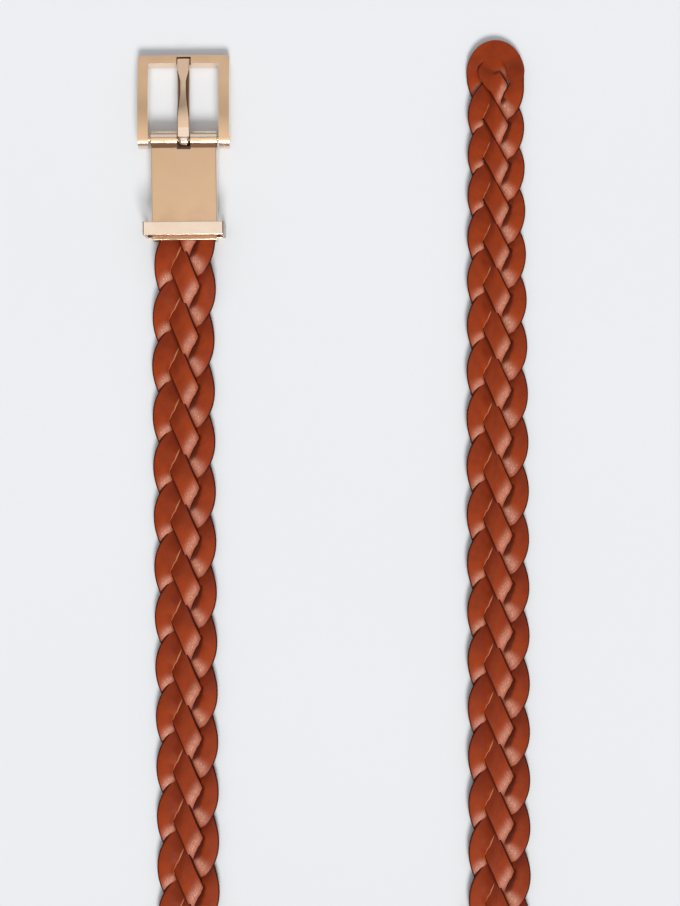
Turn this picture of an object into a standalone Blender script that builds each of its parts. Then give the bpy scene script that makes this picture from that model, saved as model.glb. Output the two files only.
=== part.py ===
"""A plaited leather belt with a pin buckle, lying in a U on a flat surface.

The strap is four flat leather strands plaited from a solid round-ended tip. The two legs of the U lie
face up. Between them each leg twists a quarter turn, so that the strap stands on its edge round the
bend. The buckle has a bowed U-shaped frame, a hinge pin, a prong, a clamp that grips the strap's end,
and a keeper loop that slides along the clamp.

The origin is the centre of the belt's outline on the surface. +Y runs along the legs towards the
buckle, +X runs from the buckle's leg to the tip's leg, and +Z is up. Sizes are in metres.
"""

import math

import bmesh
import bpy
from mathutils import Matrix, Vector

# Where the belt lies
STRAP_LENGTH = 1.0957  # hinge axis to the end of the tip, along the strap
TIP_LEAD = 0.0458  # how far the tip lies past the hinge axis
BEND_RADIUS = 0.072
TWIST_LENGTH = 0.058  # where each leg turns from flat to standing
BUCKLE_SHIFT = 0.0016  # the buckle sits this far off its leg's line, towards +X
SHIFT_LENGTH = 0.045
RISE_LENGTH = 0.030  # where the strap comes up from the surface to the clamp's mouth
LEVEL_LENGTH = 0.005  # straight and level before the mouth

# The plait
PLAIT_WIDTH = 0.0280
STRAND_SHARE = 0.2643  # the width of a strand as a share of the plait's
STRAND_THICKNESS = 0.0015
CROSSING_GAP = 0.0012  # between the strands at a crossing
PITCH = 0.0230  # from one edge lobe to the next
TIP_PITCH = 0.0172  # the plait is tighter at the tip
TIGHT_LENGTH = 0.175
LAG = 0.50  # how far the run to the right is longer than half a round, in pitches
TIP_LAG = 0.25
TURN_REACH = 0.50  # how far from its furthest point a strand starts to turn, in pitches
FLAT_REACH = 0.13  # how far either side of a crossing a strand stays level, in pitches
TURN_FLAT_REACH = 0.33  # the same on the side of a turn
STRANDS = 4

# The tip's solid head
HEAD_NARROWING = 0.0018  # how much narrower the head is than the plait
HEAD_ROUND = 0.0161  # length of the half ellipse that ends the strap
HEAD_LENGTH = 0.0208  # from the end of the tip to the first crossing
OUTER_SLIT = 0.0097  # from the end of the tip to the outer slits
MIDDLE_SLIT = 0.0144
SLIT_GAP = 0.0003
RISEN = 0.6  # the share of the way from a slit to the first crossing by which a strand has risen or sunk
PARTED = 0.4  # the share up to which it keeps to the line of its slit
HEAD_LANE = 0.56  # where the outer slits start, as a share of the head's half width

# Clearances
FIT_GAP = 0.0003  # between pieces that touch
RUNNING_GAP = 0.0001  # round the hinge pin
ARM_GAP = 0.00085  # between the barrels' ends and the frame's arms
PRONG_PLAY = 0.00025  # each side of the prong between the barrels
NOTCH_PLAY = 0.0004  # each side of the prong in the front bar's notch
KEEPER_SIDE_GAP = 0.0022  # between the clamp and the keeper's sides

# The buckle's frame and pin
FRAME_REACH = 0.0384  # hinge axis to the far edge of the front bar
FRAME_THICKNESS = 0.0044
FRONT_BAR = 0.0041
SIDE_BAR = 0.00475
FRAME_FALL = math.radians(20)  # slope of the front bar's face
FRAME_CORNER = 0.0024
OPENING_CORNER = 0.0010
EYE_RADIUS = 0.0043
PIN_RADIUS = 0.00125
PIN_RECESS = 0.0003

# The prong
PRONG_WIDTH = 0.0057
PRONG_SETBACK = 0.0014  # the prong ends this far short of the front bar's edge
PRONG_THICKNESS = 0.0023
PRONG_RING = 0.0035
PRONG_FALL = math.radians(17)
NOTCH_DEPTH = 0.0015

# The clamp
CLAMP_REACH = 0.0464  # hinge axis to the clamp's mouth
CLAMP_WALL = 0.0006
CLAMP_FACE = 0.0009
BACK_PLATE = 0.0008
BARREL_RADIUS = 0.0037
PLATE_START = 0.0042  # hinge axis to the near edge of the clamp's face
POCKET_START = 0.0080
WEB_DROP = 0.0020  # hinge axis to the underside of what joins the barrels to the face
RIM_RADIUS = 0.0006
TAB_THICKNESS = 0.0008
TAB_CLEARANCE = 0.0060  # between the end tab and the screws' bosses
PLAIT_IN_CLAMP = 0.0120
SCREW_SPREAD = 0.0090
SCREW_REACH = 0.0140
SCREW_RADIUS = 0.0010
SCREW_HEAD_RADIUS = 0.0019
SCREW_SLOT_LENGTH = 0.0030
SCREW_SLOT_WIDTH = 0.0004
SCREW_SLOT_DEPTH = 0.0002
BOSS_RADIUS = 0.0022

# The keeper loop
KEEPER_LENGTH = 0.0062
KEEPER_WALL = 0.0011
KEEPER_BASE = 0.0010
KEEPER_HEADROOM = 0.0053  # between the clamp's face and the keeper's band
KEEPER_INSET = 0.0018  # clamp's mouth to the keeper at rest
KEEPER_CORNER = 0.0012

ROUND = 24  # sides of a round piece

# Widths, from the plait out
STRAND_WIDTH = STRAND_SHARE * PLAIT_WIDTH
CLAMP_WIDTH = PLAIT_WIDTH + 2 * (FIT_GAP + CLAMP_WALL)
FRAME_OPENING = CLAMP_WIDTH + 2 * (FIT_GAP + ARM_GAP)
FRAME_WIDTH = FRAME_OPENING + 2 * SIDE_BAR
KEEPER_WIDTH = CLAMP_WIDTH + 2 * (KEEPER_SIDE_GAP + KEEPER_WALL)
BARREL_SLOT = PRONG_WIDTH + 2 * PRONG_PLAY
HEAD_WIDTH = PLAIT_WIDTH - HEAD_NARROWING
PRONG_REACH = FRAME_REACH - PRONG_SETBACK

# Heights above the surface, from the keeper's base up
CLAMP_BOTTOM = KEEPER_BASE + FIT_GAP
TAB_BOTTOM = CLAMP_BOTTOM + BACK_PLATE + FIT_GAP
STRAND_LIFT = (STRAND_THICKNESS + CROSSING_GAP) / 2  # how far a strand's middle rises and falls
PLAIT_THICKNESS = 2 * STRAND_LIFT + STRAND_THICKNESS
PLAIT_BOTTOM = TAB_BOTTOM + TAB_THICKNESS + FIT_GAP
FACE_INSIDE = PLAIT_BOTTOM + PLAIT_THICKNESS + FIT_GAP
FACE_TOP = FACE_INSIDE + CLAMP_FACE
AXIS_HEIGHT = max(FACE_TOP - BARREL_RADIUS, EYE_RADIUS)
KEEPER_TOP = FACE_TOP + KEEPER_HEADROOM + KEEPER_WALL

# Where the legs stand
BUCKLE_LEG = (STRAP_LENGTH - TIP_LEAD - math.pi * BEND_RADIUS) / 2  # hinge axis to the start of the bend
TIP_LEG = BUCKLE_LEG + TIP_LEAD
LOW_X = -BEND_RADIUS + BUCKLE_SHIFT - FRAME_WIDTH / 2
HIGH_X = BEND_RADIUS + PLAIT_WIDTH / 2
BEND_X = -(LOW_X + HIGH_X) / 2
BEND_Y = -(TIP_LEG - BEND_RADIUS - PLAIT_THICKNESS / 2) / 2
BUCKLE_X = BEND_X - BEND_RADIUS + BUCKLE_SHIFT
HINGE_Y = BEND_Y + BUCKLE_LEG
HINGE = Vector((BUCKLE_X, HINGE_Y, AXIS_HEIGHT))

# What follows from the plait's sizes
TIGHTENING = (PITCH - TIP_PITCH) / TIGHT_LENGTH
TIGHT_PITCHES = math.log(PITCH / TIP_PITCH) / TIGHTENING
SWING = (PLAIT_WIDTH - STRAND_WIDTH) / 2 / (1 - TURN_REACH / 2)
ROUND_TRIP = float(STRANDS)  # pitches from one edge and back
FIRST_CENTRE = (ROUND_TRIP / 2 + TIP_LAG) / 2
OFFSETS = [FIRST_CENTRE - 1, FIRST_CENTRE, FIRST_CENTRE + 2, FIRST_CENTRE + 1]
# The knot (see knots) at which each strand goes on from the tip: 0, 2 and 4 are crossings it passes under
JOIN_KNOTS = [0, 2, 4, 4]


def ease(x):
    """A smooth step from 0 to 1 as x goes from 0 to 1."""
    x = min(max(x, 0.0), 1.0)
    return x * x * (3 - 2 * x)


def mix(a, b, share):
    return a + (b - a) * share


# The strap's route over the surface


def route(distance):
    """The strap's middle this far from the end of the tip, its sideways axis and its face's normal."""
    bend_end = TIP_LEG + math.pi * BEND_RADIUS
    turn = -min(max(distance - TIP_LEG, 0.0) / BEND_RADIUS, math.pi)
    outward = Vector((math.cos(turn), math.sin(turn), 0))
    along = Vector((math.sin(turn), -math.cos(turn), 0))
    middle = Vector((BEND_X, BEND_Y, 0)) + outward * BEND_RADIUS
    middle += along * (min(distance - TIP_LEG, 0.0) + max(distance - bend_end, 0.0))
    roll = math.pi / 2 * min(
        ease((distance - TIP_LEG) / TWIST_LENGTH + 1), ease((bend_end - distance) / TWIST_LENGTH + 1)
    )
    normal = Vector((0, 0, 1)) * math.cos(roll) + outward * math.sin(roll)
    level = STRAP_LENGTH - CLAMP_REACH - LEVEL_LENGTH
    middle.x += BUCKLE_SHIFT * ease((distance - level) / SHIFT_LENGTH + 1)
    middle.z = PLAIT_WIDTH / 2 * math.sin(roll) + PLAIT_THICKNESS / 2 * math.cos(roll)
    middle.z += PLAIT_BOTTOM * ease((distance - level) / RISE_LENGTH + 1)
    return middle, normal.cross(along), normal


def placed(distance, sideways, height):
    """A point of the strap in space, with the direction of its face there."""
    middle, lateral, normal = route(distance)
    return middle + lateral * sideways + normal * height, normal


# The plait's pattern, where phase counts pitches along one strand


def distance_at(pitches):
    """Distance from the end of the tip, where the first crossing is at pitch 0."""
    if pitches < 0:
        return HEAD_LENGTH + pitches * TIP_PITCH
    if pitches < TIGHT_PITCHES:
        return HEAD_LENGTH + TIP_PITCH * (math.exp(pitches * TIGHTENING) - 1) / TIGHTENING
    return HEAD_LENGTH + TIGHT_LENGTH + (pitches - TIGHT_PITCHES) * PITCH


def pitches_at(distance):
    """The inverse of distance_at."""
    beyond = distance - HEAD_LENGTH
    if beyond < 0:
        return beyond / TIP_PITCH
    if beyond < TIGHT_LENGTH:
        return math.log(1 + beyond * TIGHTENING / TIP_PITCH) / TIGHTENING
    return TIGHT_PITCHES + (beyond - TIGHT_LENGTH) / PITCH


def rightward(pitches):
    """How many pitches the run to the right takes."""
    return ROUND_TRIP / 2 + mix(TIP_LAG, LAG, ease(pitches / TIGHT_PITCHES))


def knots(right):
    """The phases at which a strand crosses the others: under, over, under, then over, under, over."""
    left = ROUND_TRIP - right
    return [right * n / 4 for n in (1, 2, 3)] + [right + left * n / 4 for n in (1, 2, 3)]


def sideways_at(phase, right):
    """A strand's place across the strap: a triangle wave with rounded corners."""
    phase %= ROUND_TRIP
    left = ROUND_TRIP - right
    corners = ((0.0, -1.0, 2 / left, 2 / right), (right, 1.0, 2 / right, 2 / left))
    for corner, side, before, after in corners:
        gap = (phase - corner + ROUND_TRIP / 2) % ROUND_TRIP - ROUND_TRIP / 2
        if abs(gap) < TURN_REACH:
            bend = (before + after) * (gap + TURN_REACH) ** 2 / (4 * TURN_REACH)
            return SWING * side * (1 + before * gap - bend)
    if phase < right:
        return SWING * (2 * phase / right - 1)
    return SWING * (1 - 2 * (phase - right) / left)


def around(phase, right):
    """The number of the crossing before this phase, the stretch to the next, and how much of it is gone."""
    places = knots(right)
    phase = (phase - places[0]) % ROUND_TRIP + places[0]
    number = sum(1 for place in places if place <= phase) - 1
    stretch = (places + [places[0] + ROUND_TRIP])[number + 1] - places[number]
    return number, stretch, phase - places[number]


def flat_reach(number):
    """How far a strand stays level past a crossing and before the next. Crossings 2 and 5 lead into turns."""
    return TURN_FLAT_REACH if number in (2, 5) else FLAT_REACH


def lift_at(phase, right):
    """From -1 where the strand passes under to 1 where it passes over, level round each crossing."""
    number, stretch, gone = around(phase, right)
    sign = 1 if number % 2 else -1
    flat = flat_reach(number)
    return mix(sign, -sign, ease((gone - flat) / (stretch - 2 * flat)))


def heading(phase, right):
    """1 on the run to the right, -1 on the run to the left, and between them at the turns."""
    number, stretch, gone = around(phase, right)
    if number in (2, 5):
        swap = 1 - 2 * ease(gone / stretch)
        return swap if number == 2 else -swap
    return 1 if number < 2 else -1


def slant(pitch, right):
    """Cotangent of the angle at which two strands cross."""
    to_right = 2 * SWING / (right * pitch)
    to_left = 2 * SWING / ((ROUND_TRIP - right) * pitch)
    return (1 - to_right * to_left) / (to_right + to_left)


def strand_plan(strand, phase, across):
    """Where a point of a strand is in the flat strap: sideways, and distance from the tip."""
    pitches = phase - OFFSETS[strand]
    step = 0.01
    before = (sideways_at(phase - step, rightward(pitches - step)), distance_at(pitches - step))
    after = (sideways_at(phase + step, rightward(pitches + step)), distance_at(pitches + step))
    along = Vector((after[0] - before[0], after[1] - before[1])).normalized()
    side = sideways_at(phase, rightward(pitches))
    return side + across * along.y, distance_at(pitches) - across * along.x


def strand_row(strand, phase):
    """A strand's two edges at this phase, on a line parallel to the strands that cross it there."""
    pitches = phase - OFFSETS[strand]
    right = rightward(pitches)
    pitch = PITCH if pitches > TIGHT_PITCHES else TIP_PITCH * math.exp(max(pitches, 0) * TIGHTENING)
    lean = heading(phase, right) * slant(pitch, right) / pitch
    row = []
    for across in (-STRAND_WIDTH / 2, STRAND_WIDTH / 2):
        side, distance = strand_plan(strand, phase - lean * across, across)
        row.append((distance, side, STRAND_LIFT * lift_at(phase, right)))
    return row


def twists(distance):
    """Whether this stretch of the strap is turning from flat to standing."""
    bend_end = TIP_LEG + math.pi * BEND_RADIUS
    return -TWIST_LENGTH < distance - TIP_LEG < 0 or 0 < distance - bend_end < TWIST_LENGTH


def row_phases(strand, start, end):
    """The phases that a strand needs a row at: both sides of each crossing, and spread along its turns.

    Where the strap twists, the rows lie twice as close.
    """
    phases = [start]
    phase = start
    while True:
        right = rightward(phase - OFFSETS[strand])
        number, stretch, gone = around(phase, right)
        count = 6 if number in (2, 5) else 2
        flat = flat_reach(number)
        stops = [flat + (stretch - 2 * flat) * n / count for n in range(count + 1)]
        stops.append(stretch + flat_reach((number + 1) % 6))
        ahead = [stop - gone for stop in stops if stop - gone > 0.02]
        if twists(distance_at(phase - OFFSETS[strand])):
            phases.append(phase + ahead[0] / 2)
        phase += ahead[0]
        if phase > end - 0.02:
            return phases + [end]
        phases.append(phase)


# Meshes


def material(name, colour, metallic, roughness):
    made = bpy.data.materials.new(name)
    made.use_nodes = True
    shader = made.node_tree.nodes["Principled BSDF"]
    shader.inputs["Base Color"].default_value = (*colour, 1)
    shader.inputs["Metallic"].default_value = metallic
    shader.inputs["Roughness"].default_value = roughness
    made.diffuse_color = (*colour, 1)
    return made


def new_object(name, mesh_data, finish, parent=None):
    """Puts a bmesh, made round the parent's place or in the belt's own frame, into the scene."""
    bmesh.ops.recalc_face_normals(mesh_data, faces=mesh_data.faces)
    mesh = bpy.data.meshes.new(name)
    mesh_data.to_mesh(mesh)
    mesh_data.free()
    mesh.materials.append(finish)
    made = bpy.data.objects.new(name, mesh)
    bpy.context.scene.collection.objects.link(made)
    made.parent = parent
    return made


def joint_empty(name, location, parent=None):
    """An empty on a joint's axis, at a location relative to its parent."""
    made = bpy.data.objects.new(name, None)
    made.empty_display_size = 0.01
    made.location = location
    bpy.context.scene.collection.objects.link(made)
    made.parent = parent
    return made


def shade_round(made, degrees=35):
    made.data.shade_smooth()
    made.data.set_sharp_from_angle(angle=math.radians(degrees))


def sheet_mesh(lanes, thickness):
    """A bmesh of a thick sheet.

    A lane is a list of rows, and a row lists (point, normal) of the sheet's middle. Lanes whose points meet
    become one sheet there.
    """
    made = bmesh.new()
    found = {}

    def corner(point, normal):
        key = tuple(round(value * 1e6) for value in point)
        if key not in found:
            half = normal * thickness / 2
            found[key] = (made.verts.new(point + half), made.verts.new(point - half))
        return found[key]

    edges = {}
    for lane in lanes:
        grid = [[corner(*place) for place in row] for row in lane]
        for near, far in zip(grid, grid[1:]):
            for n in range(len(near) - 1):
                loop = []
                for pair in (near[n], far[n], far[n + 1], near[n + 1]):
                    if pair not in loop:
                        loop.append(pair)
                if len(loop) < 3:
                    continue
                made.faces.new([pair[0] for pair in loop])
                made.faces.new([pair[1] for pair in reversed(loop)])
                for start, end in zip(loop, loop[1:] + loop[:1]):
                    edges[(start, end)] = True
    for start, end in edges:
        if (end, start) not in edges:
            made.faces.new((end[0], start[0], start[1], end[1]))
    return made


def box_mesh(low, high):
    made = bmesh.new()
    low, high = Vector(low), Vector(high)
    bmesh.ops.create_cube(made, size=1)
    bmesh.ops.scale(made, vec=high - low, verts=made.verts)
    bmesh.ops.translate(made, vec=(low + high) / 2, verts=made.verts)
    return made


def rod_mesh(radius, low, high, axis="X", centre=(0, 0, 0)):
    """A cylinder along X from low to high, or along Z."""
    made = bmesh.new()
    turn = Matrix.Rotation(math.pi / 2, 4, "Y") if axis == "X" else Matrix()
    middle = (low + high) / 2
    place = Vector((middle, 0, 0)) if axis == "X" else Vector((0, 0, middle))
    bmesh.ops.create_cone(
        made,
        cap_ends=True,
        segments=ROUND,
        radius1=radius,
        radius2=radius,
        depth=high - low,
        matrix=Matrix.Translation(Vector(centre) + place) @ turn,
    )
    return made


def prism_mesh(outline, low, high):
    """A side view, as (y, z) points, made solid along X from low to high."""
    made = bmesh.new()
    face = made.faces.new([made.verts.new((low, y, z)) for y, z in outline])
    grown = bmesh.ops.extrude_face_region(made, geom=[face])
    moved = [item for item in grown["geom"] if isinstance(item, bmesh.types.BMVert)]
    bmesh.ops.translate(made, vec=(high - low, 0, 0), verts=moved)
    bmesh.ops.recalc_face_normals(made, faces=made.faces)
    return made


def bevel_edges(mesh_data, wanted, width, segments):
    """Rounds the edges for which wanted(edge) is true."""
    edges = [edge for edge in mesh_data.edges if wanted(edge)]
    bmesh.ops.bevel(mesh_data, geom=edges, offset=width, segments=segments, profile=0.5, affect="EDGES")


def combine(made, other_mesh, operation):
    """Joins a bmesh to an object, or cuts it away, through a Boolean modifier and a hidden helper."""
    name = f"{made.name}_{operation.lower()}_{len(made.modifiers)}"
    helper = new_object(name, other_mesh, made.data.materials[0], made.parent)
    helper.location = made.location
    helper.hide_render = True
    helper.display_type = "WIRE"
    boolean = made.modifiers.new(name, "BOOLEAN")
    boolean.operation = operation
    boolean.solver = "EXACT"
    boolean.object = helper


# The strap


def head_half_width(distance):
    """The tip's half width: half an ellipse, then the plait's own half width."""
    along = min(distance / HEAD_ROUND, 1.0)
    half = HEAD_WIDTH / 2 * math.sqrt(1 - (1 - along) ** 2)
    return mix(half, PLAIT_WIDTH / 2, ease((distance - HEAD_ROUND) / HEAD_ROUND))


def tip_row(strand, phase):
    """A row of the tip: one with the head where the strap is solid, and a strand's own row past the slits."""
    own = strand_row(strand, phase)
    pitches = phase - OFFSETS[strand]
    distance = max(distance_at(pitches), 0.0)
    first = OFFSETS[strand] + (0.0 if strand in (1, 2) else 0.5)
    sign = 1 if strand in (1, 3) else -1
    lift = sign * STRAND_LIFT if phase < first else own[0][2]
    edges = [-1.0, -HEAD_LANE, 0.0, HEAD_LANE, 1.0]
    row = []
    for end in (0, 1):
        edge = edges[strand + end]
        slit = MIDDLE_SLIT if edge == 0 else OUTER_SLIT
        gone = (distance - slit) / (HEAD_LENGTH - slit)
        parted = ease((gone - PARTED) / (1 - PARTED))
        inset = 0.0 if abs(edge) == 1 else SLIT_GAP / 2 * min(max(gone, 0.0), 1.0)
        side = edge * head_half_width(distance) + (-inset if end else inset)
        height = lift * ease(gone / RISEN)
        row.append((mix(distance, own[end][0], parted), mix(side, own[end][1], parted), height))
    return row


def build_tip(finish):
    """The head and the roots of the strands, each as far as the crossing that hides where it goes on."""
    head = [HEAD_ROUND * (1 - math.cos(math.radians(angle))) for angle in (0, 18, 36, 54, 66)]
    head += [mix(OUTER_SLIT, HEAD_LENGTH, n / 6) for n in range(1, 6)]
    lanes = []
    for strand, knot in enumerate(JOIN_KNOTS):
        end = knots(rightward(0))[knot]
        rows = [pitches_at(distance) + OFFSETS[strand] for distance in head]
        rows = [phase for phase in rows if phase < end - 0.05]
        while rows[-1] < end - 0.01:
            rows.append(min(rows[-1] + 0.1, end))
        lanes.append([[placed(*place) for place in tip_row(strand, phase)] for phase in rows])
    return new_object("strap_tip", sheet_mesh(lanes, STRAND_THICKNESS), finish)


def build_strand(strand, finish):
    """One strand, from where it leaves the tip's piece to its end inside the clamp."""
    start = knots(rightward(0))[JOIN_KNOTS[strand]] + FIT_GAP / TIP_PITCH
    end = pitches_at(STRAP_LENGTH - CLAMP_REACH + PLAIT_IN_CLAMP) + OFFSETS[strand]
    lane = []
    for phase in row_phases(strand, start, end):
        lane.append([placed(*place) for place in strand_row(strand, phase)])
    return new_object(f"strand_{strand + 1}", sheet_mesh([lane], STRAND_THICKNESS), finish)


# The buckle, built round its hinge axis


class Arch:
    """The top line of a bowed piece in side view: from a ring round the hinge axis to a far end."""

    def __init__(self, ring, reach, fall, end_height):
        low, high = math.radians(-30), math.radians(60)
        for _ in range(60):
            self.rise = (low + high) / 2
            self.radius = (reach + ring * math.sin(self.rise)) / (math.sin(self.rise) + math.sin(fall))
            drop = self.radius * (math.cos(fall) - math.cos(self.rise))
            if ring * math.cos(self.rise) + drop > end_height:
                high = self.rise
            else:
                low = self.rise
        self.ring = ring
        self.fall = fall

    def point(self, slope, depth=0.0):
        """The point where the line has this slope, or the one at a depth below it, as (y, z)."""
        y = -self.ring * math.sin(self.rise) + self.radius * (math.sin(self.rise) - math.sin(slope))
        z = self.ring * math.cos(self.rise) + self.radius * (math.cos(slope) - math.cos(self.rise))
        return y + depth * math.sin(slope), z - depth * math.cos(slope)

    def slope_before_end(self, length):
        """The slope at this length back from the far end."""
        return -self.fall + length / self.radius

    def outline(self, thickness, steps, start_length):
        """Side view of a strip under the line with a ring at the hinge; it meets the ring at start_length."""
        top = [self.point(mix(-self.fall, self.rise, n / steps)) for n in range(steps + 1)]
        around_ring = 90 + math.degrees(self.rise)
        ring = []
        for n in range(1, ROUND):
            angle = math.radians(around_ring + (300 - around_ring) * n / ROUND)
            ring.append((self.ring * math.cos(angle), self.ring * math.sin(angle)))
        start = self.rise - start_length / self.radius
        under = [self.point(mix(start, -self.fall, n / steps), thickness) for n in range(steps + 1)]
        return top + ring + under


def frame_arch():
    resting = -AXIS_HEIGHT + FRAME_THICKNESS * math.cos(FRAME_FALL)
    return Arch(EYE_RADIUS, FRAME_REACH, FRAME_FALL, resting)


def prong_arch():
    """The prong's tip lies on the floor of the notch in the front bar."""
    frame = frame_arch()
    notch = frame.point(frame.slope_before_end(FRAME_REACH - PRONG_REACH), NOTCH_DEPTH)
    end_height = notch[1] + FIT_GAP + PRONG_THICKNESS * math.cos(PRONG_FALL)
    return Arch(PRONG_RING, PRONG_REACH, PRONG_FALL, end_height)


def build_frame(finish, parent):
    arch = frame_arch()
    mesh = prism_mesh(arch.outline(FRAME_THICKNESS, 8, 2 * EYE_RADIUS), -FRAME_WIDTH / 2, FRAME_WIDTH / 2)
    bevel_edges(mesh, lambda edge: is_upright_end(edge, arch), FRAME_CORNER, 4)
    frame = new_object("buckle_frame", mesh, finish, parent)

    def on_inner_wall(edge):
        ends = [vert.co for vert in edge.verts]
        return abs(ends[0].x - ends[1].x) < 1e-6 and all(end.y > 0 for end in ends)

    inner = arch.slope_before_end(FRONT_BAR)
    top, low = arch.point(inner, -2 * FRAME_THICKNESS), arch.point(inner, 4 * FRAME_THICKNESS)
    back = -4 * EYE_RADIUS
    opening = prism_mesh([(back, back), low, top, (back, -back)], -FRAME_OPENING / 2, FRAME_OPENING / 2)
    bevel_edges(opening, on_inner_wall, OPENING_CORNER, 3)
    combine(frame, opening, "DIFFERENCE")

    start, end = arch.slope_before_end(2 * FRONT_BAR), arch.slope_before_end(-FRONT_BAR)
    outline = [arch.point(start, NOTCH_DEPTH), arch.point(end, NOTCH_DEPTH)]
    outline += [arch.point(end, -FRAME_THICKNESS), arch.point(start, -FRAME_THICKNESS)]
    half = PRONG_WIDTH / 2 + NOTCH_PLAY
    combine(frame, prism_mesh(outline, -half, half), "DIFFERENCE")
    bore = rod_mesh(PIN_RADIUS + RUNNING_GAP, -FRAME_WIDTH, FRAME_WIDTH)
    combine(frame, bore, "DIFFERENCE")
    shade_round(frame)
    return frame


def is_upright_end(edge, arch):
    """Whether an edge runs through the frame's thickness at its far end."""
    top, low = arch.point(-arch.fall), arch.point(-arch.fall, FRAME_THICKNESS)
    heights = sorted(vert.co.z for vert in edge.verts)
    return abs(heights[0] - low[1]) < 1e-5 and abs(heights[1] - top[1]) < 1e-5


def build_pin(finish, parent):
    half = FRAME_WIDTH / 2 - PIN_RECESS
    pin = new_object("hinge_pin", rod_mesh(PIN_RADIUS, -half, half), finish, parent)
    shade_round(pin)
    return pin


def build_prong(finish, parent):
    arch = prong_arch()
    outline = arch.outline(PRONG_THICKNESS, 8, 1.6 * PRONG_RING)
    prong = new_object("prong", prism_mesh(outline, -PRONG_WIDTH / 2, PRONG_WIDTH / 2), finish, parent)
    bore = rod_mesh(PIN_RADIUS + RUNNING_GAP, -PRONG_WIDTH, PRONG_WIDTH)
    combine(prong, bore, "DIFFERENCE")
    shade_round(prong)
    return prong


def screw_places():
    return (("left", -SCREW_SPREAD), ("right", SCREW_SPREAD))


def build_clamp(finish, parent):
    """The face, its side walls, the barrels rolled round the hinge pin, and the bosses for the screws."""
    top = FACE_TOP - AXIS_HEIGHT
    ceiling = FACE_INSIDE - AXIS_HEIGHT
    bottom = CLAMP_BOTTOM - AXIS_HEIGHT
    half = CLAMP_WIDTH / 2
    body = box_mesh((-half, -CLAMP_REACH, bottom), (half, -PLATE_START, top))
    shell = new_object("clamp_shell", body, finish, parent)
    pocket_half = half - CLAMP_WALL
    pocket_high = (pocket_half, -POCKET_START, ceiling)
    combine(shell, box_mesh((-pocket_half, -2 * CLAMP_REACH, 2 * bottom), pocket_high), "DIFFERENCE")
    web_half = half - CLAMP_WALL / 2
    web = box_mesh((-web_half, -PLATE_START - CLAMP_FACE, -WEB_DROP), (web_half, 0, top - CLAMP_FACE))
    combine(shell, web, "UNION")
    combine(shell, rod_mesh(BARREL_RADIUS, -half - FIT_GAP, half + FIT_GAP), "UNION")
    rim_centre = (0, -CLAMP_REACH + RIM_RADIUS + RUNNING_GAP, top - RIM_RADIUS / 3)
    combine(shell, rod_mesh(RIM_RADIUS, -web_half, web_half, centre=rim_centre), "UNION")
    for _, x in screw_places():
        place = (x, -SCREW_REACH, 0)
        boss = rod_mesh(BOSS_RADIUS, bottom + BACK_PLATE + FIT_GAP, top - CLAMP_FACE / 2, "Z", place)
        combine(shell, boss, "UNION")
        hole = rod_mesh(SCREW_RADIUS + RUNNING_GAP, 2 * bottom, ceiling - FIT_GAP, "Z", place)
        combine(shell, hole, "DIFFERENCE")
    slot_half = BARREL_SLOT / 2
    slot_far = 2 * BARREL_RADIUS
    slot = box_mesh((-slot_half, -PLATE_START - CLAMP_FACE, -slot_far), (slot_half, slot_far, slot_far))
    combine(shell, slot, "DIFFERENCE")
    bore = rod_mesh(PIN_RADIUS + RUNNING_GAP, -CLAMP_WIDTH, CLAMP_WIDTH)
    combine(shell, bore, "DIFFERENCE")
    shade_round(shell)
    return shell


def build_back_plate(finish, parent):
    half = CLAMP_WIDTH / 2 - CLAMP_WALL - FIT_GAP
    bottom = CLAMP_BOTTOM - AXIS_HEIGHT
    low, high = (-half, -CLAMP_REACH, bottom), (half, -POCKET_START - FIT_GAP, bottom + BACK_PLATE)
    plate = new_object("clamp_back_plate", box_mesh(low, high), finish, parent)
    for _, x in screw_places():
        place = (x, -SCREW_REACH, 0)
        sink = rod_mesh(SCREW_HEAD_RADIUS + RUNNING_GAP, 2 * bottom, bottom + BACK_PLATE / 2, "Z", place)
        combine(plate, sink, "DIFFERENCE")
        combine(plate, rod_mesh(SCREW_RADIUS + RUNNING_GAP, 2 * bottom, 0, "Z", place), "DIFFERENCE")
    return plate


def build_screws(finish, parent):
    bottom = CLAMP_BOTTOM - AXIS_HEIGHT
    for side, x in screw_places():
        place = (x, -SCREW_REACH, 0)
        head = rod_mesh(SCREW_HEAD_RADIUS, bottom, bottom + BACK_PLATE / 2 - RUNNING_GAP, "Z", place)
        screw = new_object(f"clamp_screw_{side}", head, finish, parent)
        ceiling = FACE_INSIDE - AXIS_HEIGHT
        shank = rod_mesh(SCREW_RADIUS, bottom + BACK_PLATE / 4, ceiling - 2 * FIT_GAP, "Z", place)
        combine(screw, shank, "UNION")
        slot_half = Vector((SCREW_SLOT_LENGTH / 2, SCREW_SLOT_WIDTH / 2, SCREW_SLOT_DEPTH))
        face = Vector((x, -SCREW_REACH, bottom))
        combine(screw, box_mesh(face - slot_half, face + slot_half), "DIFFERENCE")
        shade_round(screw)


def build_end_tab(finish, parent):
    """The leather tab that the strands' ends are fixed to, inside the clamp."""
    half = CLAMP_WIDTH / 2 - CLAMP_WALL - FIT_GAP
    bottom = TAB_BOTTOM - AXIS_HEIGHT
    inner = -SCREW_REACH - BOSS_RADIUS - TAB_CLEARANCE
    tab = box_mesh((-half, -CLAMP_REACH + FIT_GAP, bottom), (half, inner, bottom + TAB_THICKNESS))
    return new_object("strap_end_tab", tab, finish, parent)


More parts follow.
